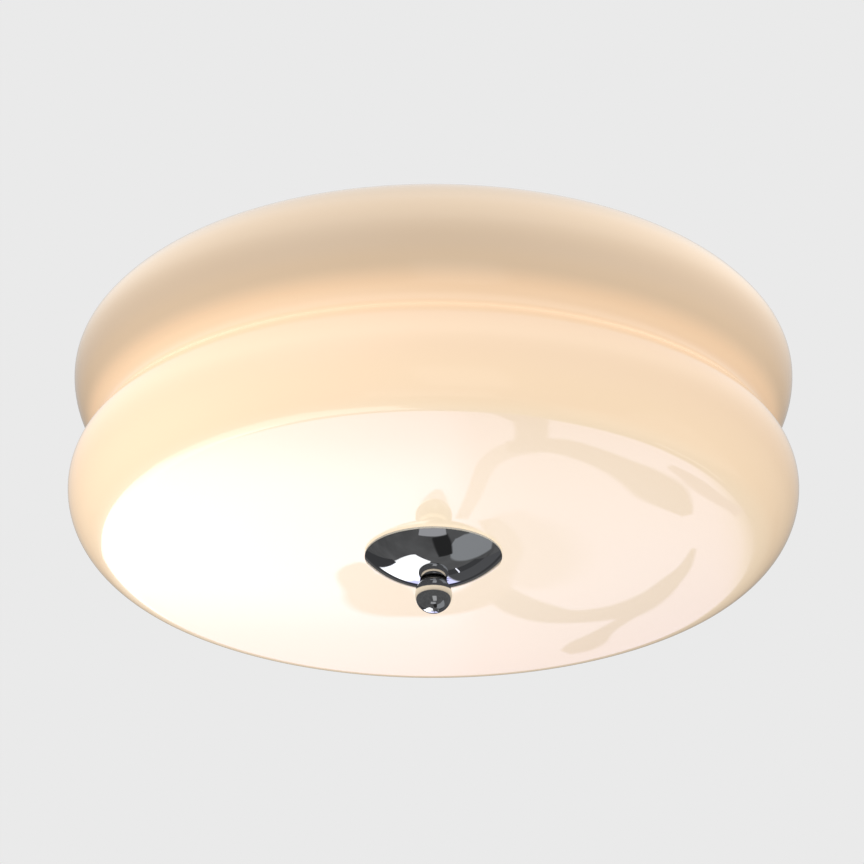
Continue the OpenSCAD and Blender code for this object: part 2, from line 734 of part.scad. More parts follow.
// Sprung strip that presses on the lamp's centre contact
module holder_contact(i) {
    half_l = 9;
    strip_w = 6;
    knee = 1;
    tongue = 3;
    top_h = holder_floor + contact_strip_h;
    color("gold") at_lamp(i) rotate([90, 0, 0]) linear_extrude(strip_w, center = true) polygon([
        [holder_floor, -half_l], [holder_floor, half_l],
        [holder_floor + contact_t, half_l], [holder_floor + contact_t, -half_l + contact_t + knee],
        [top_h - contact_t, -knee], [top_h - contact_t, tongue], [top_h, tongue],
        [top_h, -knee - contact_t], [holder_floor + contact_t, -half_l]
    ]);
}

// Screws that hold each holder on its bracket, with their heads towards the rod
module holder_screws() {
    head_r = 1.8 * holder_screw_r;
    head_h = 1.6;
    color("silver") for (i = [0:len(lamp_turns) - 1], side = [-1, 1])
        at_lamp(i) translate([-bracket_t, 0, side * holder_screw_pitch / 2]) rotate([0, 90, 0])
            screw(holder_screw_r, holder_screw_l + bracket_t - cut, head_r, head_h);
}

// Three pole terminal block with a housing round each pole and a shaft for each screw
module terminal_block() {
    shaft_wall = 1.6;
    shaft_play = 0.3;
    shaft_drop = 13;
    head_play = 0.2;
    color("white") at_terminals() difference() {
        union() {
            translate([-block_d / 2, -block_w / 2, -block_base_h]) cube([block_d, block_w, block_base_h]);
            at_poles() rotate([0, 90, 0])
                cylinder(h = block_d, r = pole_housing_r, center = true, $fn = small_fn);
            at_poles() translate([-block_d / 2, -pole_housing_r, 0])
                cube([block_d, 2 * pole_housing_r, pole_drop]);
            at_pole_screws() translate([0, 0, pole_drop - shaft_drop])
                cylinder(h = shaft_drop - pole_drop, r = terminal_screw_r + shaft_wall, $fn = small_fn);
        }
        at_poles() rotate([0, 90, 0])
            cylinder(h = block_d + 2 * cut, r = barrel_r + face_gap, center = true, $fn = small_fn);
        at_pole_screws() translate([0, 0, pole_drop - shaft_drop - cut])
            cylinder(h = shaft_drop - pole_drop + cut, r = terminal_screw_r + shaft_play, $fn = small_fn);
        translate([0, pole_pitch / 2, -block_base_h - cut])
            cylinder(h = block_base_h + 2 * cut, r = terminal_screw_r + screw_play, $fn = small_fn);
        translate([0, pole_pitch / 2, -shaft_drop - cut])
            cylinder(h = shaft_drop - block_base_h + cut, r = fixing_head_r + head_play, $fn = small_fn);
    }
}

module terminal_barrels() {
    end_gap = 1;
    color("gold") at_terminals() difference() {
        at_poles() rotate([0, 90, 0])
            cylinder(h = block_d - 2 * end_gap, r = barrel_r, center = true, $fn = small_fn);
        at_poles() rotate([0, 90, 0])
            cylinder(h = block_d, r = barrel_bore_r, center = true, $fn = small_fn);
        at_pole_screws() translate([0, 0, -barrel_r - cut])
            cylinder(h = barrel_r + cut, r = terminal_screw_r + screw_play, $fn = small_fn);
    }
}

// Grub screws, each driven up until it stands flush with its barrel's bore
module terminal_screws() {
    grub_l = 3.6;
    grub_slot = 0.6;
    slot_depth = 0.8;
    grub_z = -barrel_bore_r - grub_l - 2 * face_gap;
    color("silver") at_terminals() at_pole_screws() translate([0, 0, grub_z]) difference() {
        cylinder(h = grub_l, r = terminal_screw_r, $fn = small_fn);
        translate([-terminal_screw_r - cut, -grub_slot / 2, -cut])
            cube([2 * terminal_screw_r + 2 * cut, grub_slot, cut + slot_depth]);
    }
}

module terminal_fixing_screw() {
    head_h = 1.4;
    tip = 2;
    color("silver") at_terminals() translate([0, pole_pitch / 2, -block_base_h])
        screw(terminal_screw_r, block_base_h + pan_t + tip, fixing_head_r, head_h);
}

module earth_washer() {
    color("gold") rotate([0, 0, terminal_turn]) translate([earth_place_r, 0, floor_z - pan_t])
        ring(earth_screw_r + screw_play, earth_washer_r, pan_t);
}

module earth_screw() {
    head_r = 2 * earth_screw_r;
    head_h = 1.8;
    tip = 3;
    color("gold") rotate([0, 0, terminal_turn]) translate([earth_place_r, 0, floor_z - pan_t])
        screw(earth_screw_r, 2 * pan_t + tip, head_r, head_h);
}

// Place of a holder's wire entry at a level
function at_entry(entry, z) = [holder_back_r + entry.x, entry.y, z];

// Wire from a pole to a holder's entry
function pole_lead(pole_y, run_z, turn, entry) = concat(
    turned_all([[lead_start_r, pole_y, live_run_z], [lead_turn_r, pole_y, live_run_z],
                [lead_drop_r, pole_y, run_z]], terminal_turn),
    turned_all([at_entry(entry, run_z), at_entry(entry, entry_z - entry_depth + lead_r)], turn));

// Wire from the first holder on to the third
function link_lead(from, to, run_z, bend_r) = concat(
    turned_all([at_entry(from, entry_z - entry_depth + lead_r), at_entry(from, run_z)], lamp_turns[0]),
    turned_all([[bend_r, 0, run_z]], lead_bend_turn),
    turned_all([at_entry(to, run_z), at_entry(to, entry_z - entry_depth + lead_r)], lamp_turns[2]));

// Brown wires: the block to holders 2 and 1, and holder 1 to holder 3
module live_leads() {
    color("saddlebrown") {
        lead(pole_lead(-pole_pitch + pair_half, live_run_z, lamp_turns[1], live_entries[0]));
        lead(pole_lead(-pole_pitch - pair_half, live_run_z, lamp_turns[0], live_entries[0]));
        lead(link_lead(live_entries[1], live_entries[0], live_run_z, live_bend_r));
    }
}

// Blue wires along the same ways, one level lower
module neutral_leads() {
    color("royalblue") {
        lead(pole_lead(pole_pitch + pair_half, neutral_run_z, lamp_turns[1], neutral_entries[0]));
        lead(pole_lead(pole_pitch - pair_half, neutral_run_z, lamp_turns[0], neutral_entries[1]));
        lead(link_lead(neutral_entries[0], neutral_entries[0], neutral_run_z, neutral_bend_r));
    }
}

// Green wire from the middle pole to the washer under the earth screw
module earth_lead() {
    end_r = earth_place_r + earth_washer_r + lead_r;
    end_z = floor_z - pan_t / 2 - lead_r;
    level_l = 3;
    color("yellowgreen") lead(turned_all([
        [lead_start_r, 0, live_run_z], [block_face_r - level_l, 0, live_run_z],
        [lead_turn_r, 0, end_z], [end_r - lead_r, 0, end_z]
    ], terminal_turn));
}

// Opal glass shell of two tiers, open at the ceiling and bored for the rod
module glass_shade() {
    color("seashell") rotate_extrude($fn = large_fn) difference() {
        shade_region(0);
        shade_region(glass_t);
        translate([-cut, upper_z]) square([cut + mouth_r, shoulder_h + cut]);
        translate([-cut, dish_z - cut]) square([cut + dish_hole_r, glass_t + dish_sag + 2 * cut]);
    }
}

// Soft bush that keeps the rod off the glass, with its flange under the dish
module shade_bush() {
    flange_top_z = dish_z - face_gap;
    flange_out_r = dish_hole_r + bush_flange;
    flange_t = cap_gasket_t - face_gap;
    sleeve_rise = 1;
    sleeve_l = glass_t + sleeve_rise + face_gap;
    inner_r = rod_r + seat_gap;
    color("gainsboro") rotate_extrude($fn = small_fn) {
        translate([inner_r, flange_top_z - flange_t]) square([flange_out_r - inner_r, flange_t]);
        translate([inner_r, flange_top_z]) square([dish_hole_r - 2 * face_gap - inner_r, sleeve_l]);
    }
}

// Soft ring between the cap's rim and the dish
module cap_gasket() {
    color("gainsboro") translate([0, 0, cap_rim_z])
        ring(cap_gasket_in_r, cap_r - 2 * face_gap, cap_gasket_t - face_gap, large_fn);
}

// Spun chrome dome over the hole in the dish
module finial_cap() {
    sphere_c = [0, cap_apex_z + cap_sphere_r];
    color("silver") rotate_extrude($fn = large_fn) difference() {
        intersection() {
            translate(sphere_c) circle(cap_sphere_r, $fn = 2 * large_fn);
            translate([rod_r + seat_gap, cap_apex_z - cut]) square([cap_r, cap_h + cut]);
        }
        translate(sphere_c) circle(cap_sphere_r - cap_t, $fn = 2 * large_fn);
    }
}

module finial_washer() {
    color("dimgray") translate([0, 0, finial_washer_z - finial_washer_t])
        ring(rod_r + seat_gap, neck_r, finial_washer_t);
}

// Ball finial with a short neck and a blind threaded bore
module finial() {
    bore_end_z = rod_end_z - rod_r / 2;
    color("silver") rotate_extrude($fn = 2 * small_fn) difference() {
        union() {
            pie([0, ball_z], ball_r, -90, heading([0, ball_z], [neck_r, neck_top_z - neck_h]), 2 * small_fn);
            translate([0, ball_z]) square([neck_r, neck_top_z - ball_z]);
        }
        translate([-cut, bore_end_z])
            square([cut + rod_r + screw_play, neck_top_z - bore_end_z + cut]);
    }
}

// Half section of a lamp's glass, moved inwards by inset
module globe_region(inset) {
    centre = [0, globe_centre_h];
    fillet_c = [globe_neck_r + globe_fillet_r, neck_end_h];
    touch = on_arc(centre, globe_r - inset, heading(centre, fillet_c));
    difference() {
        union() {
            pie(centre, globe_r - inset, 0, 90);
            pie(centre, globe_r - inset, heading(centre, fillet_c), 0);
            polygon([[0, neck_start_h], [globe_neck_r - inset, neck_start_h],
                     [globe_neck_r - inset, neck_end_h], [touch.x, neck_end_h], touch,
                     [globe_r / 2, centre.y], [0, centre.y]]);
        }
        translate(fillet_c) circle(globe_fillet_r + inset, $fn = large_fn);
    }
}

// Blown glass bulb, open into its screw base
module bulb_globe(i) {
    color("white") lamp_turning(i) difference() {
        globe_region(0);
        globe_region(globe_t);
    }
}

// Metal screw base: a sleeve with a coned foot
module bulb_base(i) {
    foot_r = tip_r + insulator_l;
    color("silver") lamp_turning(i) polygon([
        [foot_r, sleeve_start_h], [base_r, sleeve_start_h + cone_l], [base_r, sleeve_end_h],
        [base_r - base_t, sleeve_end_h], [base_r - base_t, sleeve_start_h + cone_l + base_t / 2],
        [foot_r - base_t / 2, sleeve_start_h + base_t]
    ]);
}

// Black glass cone that carries the centre contact
module bulb_insulator(i) {
    edge = 0.4;
    color("black") lamp_turning(i) polygon([
        [0, lamp_contact_h + tip_l], [tip_r + edge, lamp_contact_h + tip_l],
        [tip_r + insulator_l - edge, sleeve_start_h - face_gap], [0, sleeve_start_h - face_gap]
    ]);
}

// Domed centre contact of a lamp
module bulb_contact(i) {
    dome_r = (tip_r * tip_r + tip_l * tip_l) / (2 * tip_l);
    color("silver") lamp_turning(i) intersection() {
        translate([0, lamp_contact_h + dome_r]) circle(dome_r, $fn = small_fn);
        translate([0, lamp_contact_h]) square([tip_r, tip_l]);
    }
}

base_plate();
edge_gasket();
cable_grommet();
centre_rod();
rod_top_nut();
rod_top_washer();
rod_lock_washer();
rod_lower_nut();
lamp_bracket(0);  // lamp_bracket_1
lamp_bracket(1);  // lamp_bracket_2
lamp_bracket(2);  // lamp_bracket_3
bracket_rivets();
holder_body(0);  // holder_body_1
holder_body(1);  // holder_body_2
holder_body(2);  // holder_body_3
holder_shell(0);  // holder_shell_1
holder_shell(1);  // holder_shell_2
holder_shell(2);  // holder_shell_3
holder_contact(0);  // holder_contact_1
holder_contact(1);  // holder_contact_2
holder_contact(2);  // holder_contact_3
holder_screws();
terminal_block();
terminal_barrels();
terminal_screws();
terminal_fixing_screw();
earth_screw();
earth_washer();
live_leads();
neutral_leads();
earth_lead();
glass_shade();
shade_bush();
cap_gasket();
finial_cap();
finial_washer();
finial();
bulb_globe(0);  // bulb_globe_1
bulb_globe(1);  // bulb_globe_2
bulb_globe(2);  // bulb_globe_3
bulb_base(0);  // bulb_base_1
bulb_base(1);  // bulb_base_2
bulb_base(2);  // bulb_base_3
bulb_insulator(0);  // bulb_insulator_1
bulb_insulator(1);  // bulb_insulator_2
bulb_insulator(2);  // bulb_insulator_3
bulb_contact(0);  // bulb_contact_1
bulb_contact(1);  // bulb_contact_2
bulb_contact(2);  // bulb_contact_3
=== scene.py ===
"""Dressed scene of a flush ceiling light: lit opal glass, a chrome cap and finial, and the fitting inside.

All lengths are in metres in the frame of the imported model: the origin is on the ceiling face and the
light hangs down along -Z.
"""
import logging
import math
from collections.abc import Callable
from dataclasses import dataclass
from enum import Enum

import bmesh
import bpy
from mathutils import Matrix, Vector


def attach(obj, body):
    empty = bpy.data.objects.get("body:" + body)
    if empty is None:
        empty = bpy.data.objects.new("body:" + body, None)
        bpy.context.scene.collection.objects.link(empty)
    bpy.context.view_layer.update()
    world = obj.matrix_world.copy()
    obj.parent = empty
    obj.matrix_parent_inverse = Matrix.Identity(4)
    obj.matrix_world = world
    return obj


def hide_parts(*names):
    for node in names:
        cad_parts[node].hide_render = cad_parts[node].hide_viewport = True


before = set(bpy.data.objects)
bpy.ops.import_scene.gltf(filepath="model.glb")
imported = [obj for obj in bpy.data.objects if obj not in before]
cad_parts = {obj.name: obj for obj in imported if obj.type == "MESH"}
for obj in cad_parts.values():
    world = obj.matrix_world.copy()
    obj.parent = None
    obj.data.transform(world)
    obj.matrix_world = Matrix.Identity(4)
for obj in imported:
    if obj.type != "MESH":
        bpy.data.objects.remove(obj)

log = logging.getLogger("ceiling_light")

Rgb = tuple[float, float, float]
Point = tuple[float, float, float]
Pair = tuple[float, float]
Profile = list[Pair]

# Sizes that more than one sub-assembly uses
MM = 0.001
LAMP_TURNS = (90.0, 210.0, 330.0)
TERMINAL_TURN = 150.0
LAMP_LEVEL = -0.055
LAMP_PITCH = 0.003629
HOLDER_BACK = 0.0163
PAN_SHEET = 0.0008
PAN_FLOOR = -0.009
ROD_R = 0.004
ROD_BORE_R = 0.00406
CAP_R = 0.0375
CAP_RIM_Z = -0.149977

# Play between neighbours, the softening of an edge, and the turn past which an edge stays sharp
PLAY = 0.00005
SOFT = 0.0002
SHARP_TURN = 32.0


def srgb(red: float, green: float, blue: float) -> Rgb:
    """Turns a colour as it is seen, 0 to 255, into the linear values that shaders take."""
    return tuple(
        c / 12.92 if c <= 0.04045 else ((c + 0.055) / 1.055) ** 2.4
        for c in (red / 255, green / 255, blue / 255)
    )


class Wire:
    """One value in a node tree that sums, scales and compares as a number does."""

    def __init__(self, tree: "Tree", socket: bpy.types.NodeSocket) -> None:
        """Keeps the tree and the socket that the value comes from."""
        self.tree = tree
        self.socket = socket

    def maths(self, operation: str, *others: "Wire | float", swap: bool = False) -> "Wire":
        """Adds one Math node.

        Args:
            operation: The Math node's operation.
            others: The other values, up to two.
            swap: True where this value comes second.

        Returns:
            The node's result.
        """
        values = [others[0], self] if swap else [self, *others]
        return self.tree.wire("ShaderNodeMath", {"operation": operation}, dict(enumerate(values)))

    def __add__(self, other: "Wire | float") -> "Wire":
        """Sum."""
        return self.maths("ADD", other)

    __radd__ = __add__

    def __sub__(self, other: "Wire | float") -> "Wire":
        """Difference."""
        return self.maths("SUBTRACT", other)

    def __rsub__(self, other: float) -> "Wire":
        """Difference from a number."""
        return self.maths("SUBTRACT", other, swap=True)

    def __mul__(self, other: "Wire | float") -> "Wire":
        """Product."""
        return self.maths("MULTIPLY", other)

    __rmul__ = __mul__

    def __truediv__(self, other: "Wire | float") -> "Wire":
        """Quotient."""
        return self.maths("DIVIDE", other)

    def __rtruediv__(self, other: float) -> "Wire":
        """Quotient of a number."""
        return self.maths("DIVIDE", other, swap=True)

    def smooth(self, low: float, high: float) -> "Wire":
        """Rises smoothly from 0 at low to 1 at high."""
        settings = {"interpolation_type": "SMOOTHSTEP"}
        values = {"Value": self, "From Min": low, "From Max": high}
        return self.tree.wire("ShaderNodeMapRange", settings, values)

    def clamped(self) -> "Wire":
        """Holds the value between 0 and 1."""
        return self.tree.wire("ShaderNodeClamp", {}, {"Value": self})


class Tree:
    """A node tree under construction."""

    def __init__(self, nodes: bpy.types.NodeTree) -> None:
        """Keeps the tree that nodes are added to."""
        self.nodes = nodes.nodes
        self.links = nodes.links

    def add(self, kind: str, settings: dict, values: dict) -> bpy.types.Node:
        """Adds a node.

        Args:
            kind: The node's type.
            settings: Its settings, such as an operation, set first. "stops" is a ramp's places and colours.
            values: Values or links, by the name or number of the input.

        Returns:
            The new node.
        """
        node = self.nodes.new(kind)
        for name, setting in settings.items():
            if name == "stops":
                self.fill(node.color_ramp, setting)
            else:
                setattr(node, name, setting)
        for name, value in values.items():
            entry = node.inputs[name]
            if isinstance(value, Wire):
                self.links.new(value.socket, entry)
            else:
                entry.default_value = value
        return node

    @staticmethod
    def fill(ramp: bpy.types.ColorRamp, stops: list[tuple[float, Rgb]]) -> None:
        """Gives a colour ramp its stops, eased from one to the next."""
        while len(ramp.elements) > 1:
            ramp.elements.remove(ramp.elements[-1])
        for i, (place, colour) in enumerate(stops):
            stop = ramp.elements[0] if i == 0 else ramp.elements.new(place)
            stop.position = place
            stop.color = (*colour, 1.0)
        ramp.interpolation = "EASE"

    def wire(
        self, kind: str, settings: dict | None = None, values: dict | None = None, output: int | str = 0
    ) -> Wire:
        """Adds a node as add does, and hands back one of its outputs."""
        return Wire(self, self.add(kind, settings or {}, values or {}).outputs[output])

    def place(self, scale: Point = (1.0, 1.0, 1.0)) -> Wire:
        """Object coordinates, scaled along each axis."""
        spot = self.wire("ShaderNodeTexCoord", output="Object")
        return self.wire("ShaderNodeMapping", {}, {"Vector": spot, "Scale": scale})

    def parts(self, vector: Wire) -> tuple[Wire, Wire, Wire]:
        """Splits a vector into its three values."""
        node = self.add("ShaderNodeSeparateXYZ", {}, {0: vector})
        return tuple(Wire(self, out) for out in node.outputs)

    def noise(self, place: Wire, scale: float, detail: float, rough: float = 0.5) -> Wire:
        """Noise over a place, 0 to 1, with about 1 / scale metres between its lumps."""
        values = {"Vector": place, "Scale": scale, "Detail": detail, "Roughness": rough}
        return self.wire("ShaderNodeTexNoise", {}, values)

    def ramp(self, value: Wire, stops: list[tuple[float, Rgb]]) -> Wire:
        """Colour ramp over a value."""
        return self.wire("ShaderNodeValToRGB", {"stops": stops}, {"Fac": value})

    def blend(
        self, share: Wire | float, first: Wire | Rgb, second: Wire | Rgb, way: str = "MIX"
    ) -> Wire:
        """Mixes two colours by a share, in one of the Mix node's ways."""
        settings = {"data_type": "RGBA", "blend_type": way}
        values = {"Factor": share, 6: self.opaque(first), 7: self.opaque(second)}
        return self.wire("ShaderNodeMix", settings, values, 2)

    def bump(self, height: Wire, depth: float, strength: float) -> Wire:
        """Surface relief from a height of 0 to 1, depth metres deep."""
        return self.wire("ShaderNodeBump", {}, {"Strength": strength, "Distance": depth, "Height": height})

    def glow(self, colour: Wire | Rgb, strength: Wire | float = 1.0) -> Wire:
        """A shader that only gives off light."""
        return self.wire("ShaderNodeEmission", {}, {"Color": self.opaque(colour), "Strength": strength})

    def either(self, share: Wire, first: Wire, second: Wire) -> Wire:
        """Mixes two shaders by a share."""
        return self.wire("ShaderNodeMixShader", {}, {0: share, 1: first, 2: second})

    @staticmethod
    def opaque(colour: Wire | Rgb) -> Wire | tuple[float, ...]:
        """A colour as a socket takes it."""
        return colour if isinstance(colour, Wire) else (*colour, 1.0)


def emptied(holder: bpy.types.Material | bpy.types.World) -> Tree:
    """The empty node tree of a new material or world."""
    holder.use_nodes = True
    holder.node_tree.nodes.clear()
    return Tree(holder.node_tree)


def painted(name: str, paint: Callable[[Tree], Wire]) -> bpy.types.Material:
    """Makes a material.

    Args:
        name: The material's name.
        paint: Builds its shader in an empty tree.

    Returns:
        The Blender material.
    """
    made = bpy.data.materials.new(name)
    tree = emptied(made)
    tree.add("ShaderNodeOutputMaterial", {}, {"Surface": paint(tree)})
    return made


def shown(name: str, data: bpy.types.ID) -> bpy.types.Object:
    """A new object in the scene that shows a mesh, a lamp or a camera."""
    made = bpy.data.objects.new(name, data)
    bpy.context.scene.collection.objects.link(made)
    return made


def toned(colour: Rgb, share: float) -> Rgb:
    """A darker tone of a colour."""
    return tuple(c * share for c in colour)


@dataclass(frozen=True)
class Finish:
    """A finish: what every material of the light is made from."""

    name: str

    def surface(self, tree: Tree) -> dict:
        """The values of the shader's sockets for this finish."""
        raise NotImplementedError

    def paint(self, tree: Tree) -> Wire:
        """The shader with this finish's values."""
        return tree.wire("ShaderNodeBsdfPrincipled", {}, self.surface(tree))

    def material(self) -> bpy.types.Material:
        """Builds the material once, and hands back the same one after that."""
        return bpy.data.materials.get(self.name) or painted(self.name, self.paint)


@dataclass(frozen=True)
class OpalGlass(Finish):
    """Cased opal glass with lamps behind it: it glows from inside and has a clear glossy skin.

    Attributes:
        body: Colour of the glass in reflected light.
        glow: Height and colour of each stop of the glow.
        lowest: Height at which the glow's stops end.
        lamp_place: How far each lamp's middle is from the rod.
        lamp_span: How far from a lamp's middle its gain begins, and where it is full.
        upper_span: Heights at which the upper tier begins and where it is full.
        painted_side_light: Painted studio light from the left: how much darker it gets for each metre to the
            right, and what the upper tier adds to that.
        painted_side_flare: Painted light: how much brighter it gets towards both sides, and what the upper
            tier adds to that.
        steady: Share of the glow that is the same everywhere.
        lamp_gain: What a lamp adds next to it.
        cloud_gain: What the faint clouds add.
    """

    body: Rgb = (0.40, 0.315, 0.225)
    glow: tuple[tuple[float, Rgb], ...] = (
        (-0.003, (0.22, 0.13, 0.05)),
        (-0.030, (0.44, 0.335, 0.235)),
        (-0.054, (0.345, 0.255, 0.178)),
        (-0.064, (0.36, 0.26, 0.17)),
        (-0.077, (0.62, 0.42, 0.26)),
        (-0.090, (0.64, 0.44, 0.285)),
        (-0.112, (0.69, 0.51, 0.355)),
        (-0.139, (0.70, 0.53, 0.36)),
        (-0.150, (0.74, 0.63, 0.47)),
    )
    lowest: float = -0.16
    lamp_place: float = 0.105
    lamp_span: Pair = (0.19, 0.07)
    upper_span: Pair = (-0.090, -0.045)
    painted_side_light: Pair = (-1.05, 1.8)
    painted_side_flare: Pair = (4.0, 8.0)
    steady: float = 0.95
    lamp_gain: float = 0.10
    cloud_gain: float = 0.03
    cloud_scale: float = 9.0
    ripple_scale: float = 14.0
    ripple_depth: float = 0.0004

    def surface(self, tree: Tree) -> dict:
        """Paints light into the emission: the glow follows the height of the wall and grows a little next to
        each lamp, and painted side light makes it darker to the right and brighter towards both sides.
        """
        spot = tree.place()
        x, y, z = tree.parts(spot)
        # Painted light: the lamps' glow through the glass by height, with a darker band on the upper tier's
        # widest part, and a little more next to each lamp.
        wall = tree.ramp(z / self.lowest, [(height / self.lowest, colour) for height, colour in self.glow])
        near = 0.0
        for turn in LAMP_TURNS:
            lamp_x, lamp_y, lamp_z = turned((self.lamp_place, 0.0, LAMP_LEVEL), turn)
            dx, dy, dz = x - lamp_x, y - lamp_y, z - lamp_z
            near = (dx * dx + dy * dy + dz * dz).maths("SQRT").smooth(*self.lamp_span) + near
        cloud = tree.noise(spot, self.cloud_scale, detail=2.0)
        upper = z.smooth(*self.upper_span)
        # Painted studio light from the left: darker to the right, brighter towards both sides, and more so on
        # the upper tier.
        painted_side_light = x * (self.painted_side_light[1] * upper + self.painted_side_light[0]) + x * x * (self.painted_side_flare[0] + self.painted_side_flare[1] * upper)
        level = (self.steady + near * self.lamp_gain + cloud * self.cloud_gain) * (1 + painted_side_light)
        grey = tree.wire("ShaderNodeCombineColor", {}, {0: level, 1: level, 2: level})
        ripple = tree.noise(spot, self.ripple_scale, detail=1.0)
        return {
            "Base Color": tree.blend(cloud, self.body, toned(self.body, 0.96)),
            "Roughness": 0.28 + cloud * 0.05,
            "IOR": 1.5,
            "Coat Weight": 1.0,
            "Coat Roughness": 0.015,
            "Coat IOR": 1.52,
            "Emission Color": tree.blend(1.0, wall, grey, "MULTIPLY"),
            "Emission Strength": 1.0,
            "Normal": tree.bump(ripple, self.ripple_depth, strength=0.6),
        }


@dataclass(frozen=True)
class Metal(Finish):
    """Bare or plated metal with fine marks along one direction."""

    colour: Rgb
    deep: Rgb
    roughness: float = 0.25
    marks: Point = (900.0, 900.0, 60.0)
    relief: float = 0.00002
    cloud_scale: float = 60.0
    cloud_span: Pair = (0.35, 0.7)

    def surface(self, tree: Tree) -> dict:
        """Tone from broad clouds, roughness and relief from fine marks."""
        spot = tree.place()
        cloud = tree.noise(spot, self.cloud_scale, detail=4.0)
        marks = tree.noise(tree.place(scale=self.marks), 1.0, detail=2.0)
        return {
            "Base Color": tree.blend(cloud.smooth(*self.cloud_span), self.deep, self.colour),
            "Metallic": 1.0,
            "Roughness": self.roughness * (0.75 + 0.5 * marks),
            "Normal": tree.bump(marks, self.relief, strength=0.5),
        }


@dataclass(frozen=True)
class Polish(Finish):
    """Mirror chrome with the faint haze of buffing."""

    colour: Rgb = (0.80, 0.81, 0.83)
    haze: float = 0.03
    cloud_scale: float = 40.0
    wave_scale: float = 25.0
    wave_depth: float = 0.0001

    def surface(self, tree: Tree) -> dict:
        """Nearly smooth, with a breath of haze in clouds."""
        spot = tree.place()
        cloud = tree.noise(spot, self.cloud_scale, detail=3.0)
        wave = tree.noise(spot, self.wave_scale, detail=1.0)
        return {
            "Base Color": tree.blend(cloud, self.colour, toned(self.colour, 0.93)),
            "Metallic": 1.0,
            "Roughness": self.haze * (0.6 + 0.8 * cloud),
            "Normal": tree.bump(wave, self.wave_depth, strength=0.4),
        }


@dataclass(frozen=True)
class Enamel(Finish):
    """Stove enamel on sheet steel, with orange peel."""

    colour: Rgb = (0.84, 0.84, 0.82)
    worn: Rgb = (0.72, 0.71, 0.68)
    stain_scale: float = 22.0
    stain_span: Pair = (0.45, 0.85)
    peel_scale: float = 900.0
    peel_depth: float = 0.00003

    def surface(self, tree: Tree) -> dict:
        """A fine peel over broad, faint stains."""
        spot = tree.place()
        stain = tree.noise(spot, self.stain_scale, detail=5.0, rough=0.6)
        peel = tree.noise(spot, self.peel_scale, detail=2.0)
        return {
            "Base Color": tree.blend(stain.smooth(*self.stain_span), self.colour, self.worn),
            "Roughness": 0.30 + 0.2 * stain,
            "Normal": tree.bump(peel, self.peel_depth, strength=0.5),
        }


@dataclass(frozen=True)
class Moulding(Finish):
    """Moulded plastic, rubber or insulation."""

    colour: Rgb
    deep: Rgb
    roughness: float = 0.45
    grain: float = 1500.0
    relief: float = 0.00002
    flow: Point = (30.0, 30.0, 90.0)
    flow_span: Pair = (0.3, 0.75)

    def surface(self, tree: Tree) -> dict:
        """Flow marks in the colour, spark grain in the relief."""
        spot = tree.place()
        flow = tree.noise(tree.place(scale=self.flow), 1.0, detail=4.0)
        grain = tree.noise(spot, self.grain, detail=1.0)
        return {
            "Base Color": tree.blend(flow.smooth(*self.flow_span), self.deep, self.colour),
            "Roughness": self.roughness * (0.85 + 0.3 * grain),
            "Normal": tree.bump(grain, self.relief, strength=0.6),
        }


@dataclass(frozen=True)
class FrostedGlass(Finish):
    """The lamp's glass, frosted inside and lit."""

    colour: Rgb = (0.80, 0.76, 0.68)
    glow: Rgb = (0.95, 0.80, 0.58)

    neck: Pair = (0.055, 0.10)
    frost_scale: float = 700.0
    frost_depth: float = 0.00001

    def surface(self, tree: Tree) -> dict:
        """Brightest round the globe, dimmer down the neck."""
        spot = tree.place()
        x, y, _ = tree.parts(spot)
        share = (x * x + y * y).maths("SQRT").smooth(*self.neck)
        frost = tree.noise(spot, self.frost_scale, detail=2.0)
        return {
            "Base Color": tree.blend(frost, self.colour, toned(self.colour, 0.94)),
            "Roughness": 0.22 + 0.15 * frost,
            "Emission Color": tree.blend(share, toned(self.glow, 0.35), self.glow),
            "Emission Strength": 0.9,
            "Normal": tree.bump(frost, self.frost_depth, strength=0.5),
        }


class Surface(Enum):
    """The finishes of the light, each under its slot's name."""

    OPAL = "opal_glass"
    CHROME = "chrome"
    ENAMEL = "white_enamel"
    ZINC = "zinc_steel"
    NICKEL = "nickel_sheet"
    SOLDER = "solder"
    BRASS = "brass"
    SILICONE = "silicone"
    RUBBER = "black_rubber"
    IVORY = "ivory_plastic"
    WHITE = "white_plastic"
    INSULATOR = "black_glass"
    FROST = "frosted_glass"
    LIVE = "brown_insulation"
    NEUTRAL = "blue_insulation"
    EARTH = "green_insulation"

    @property
    def material(self) -> bpy.types.Material:
        """The Blender material of this finish."""
        return FINISHES[self].material()


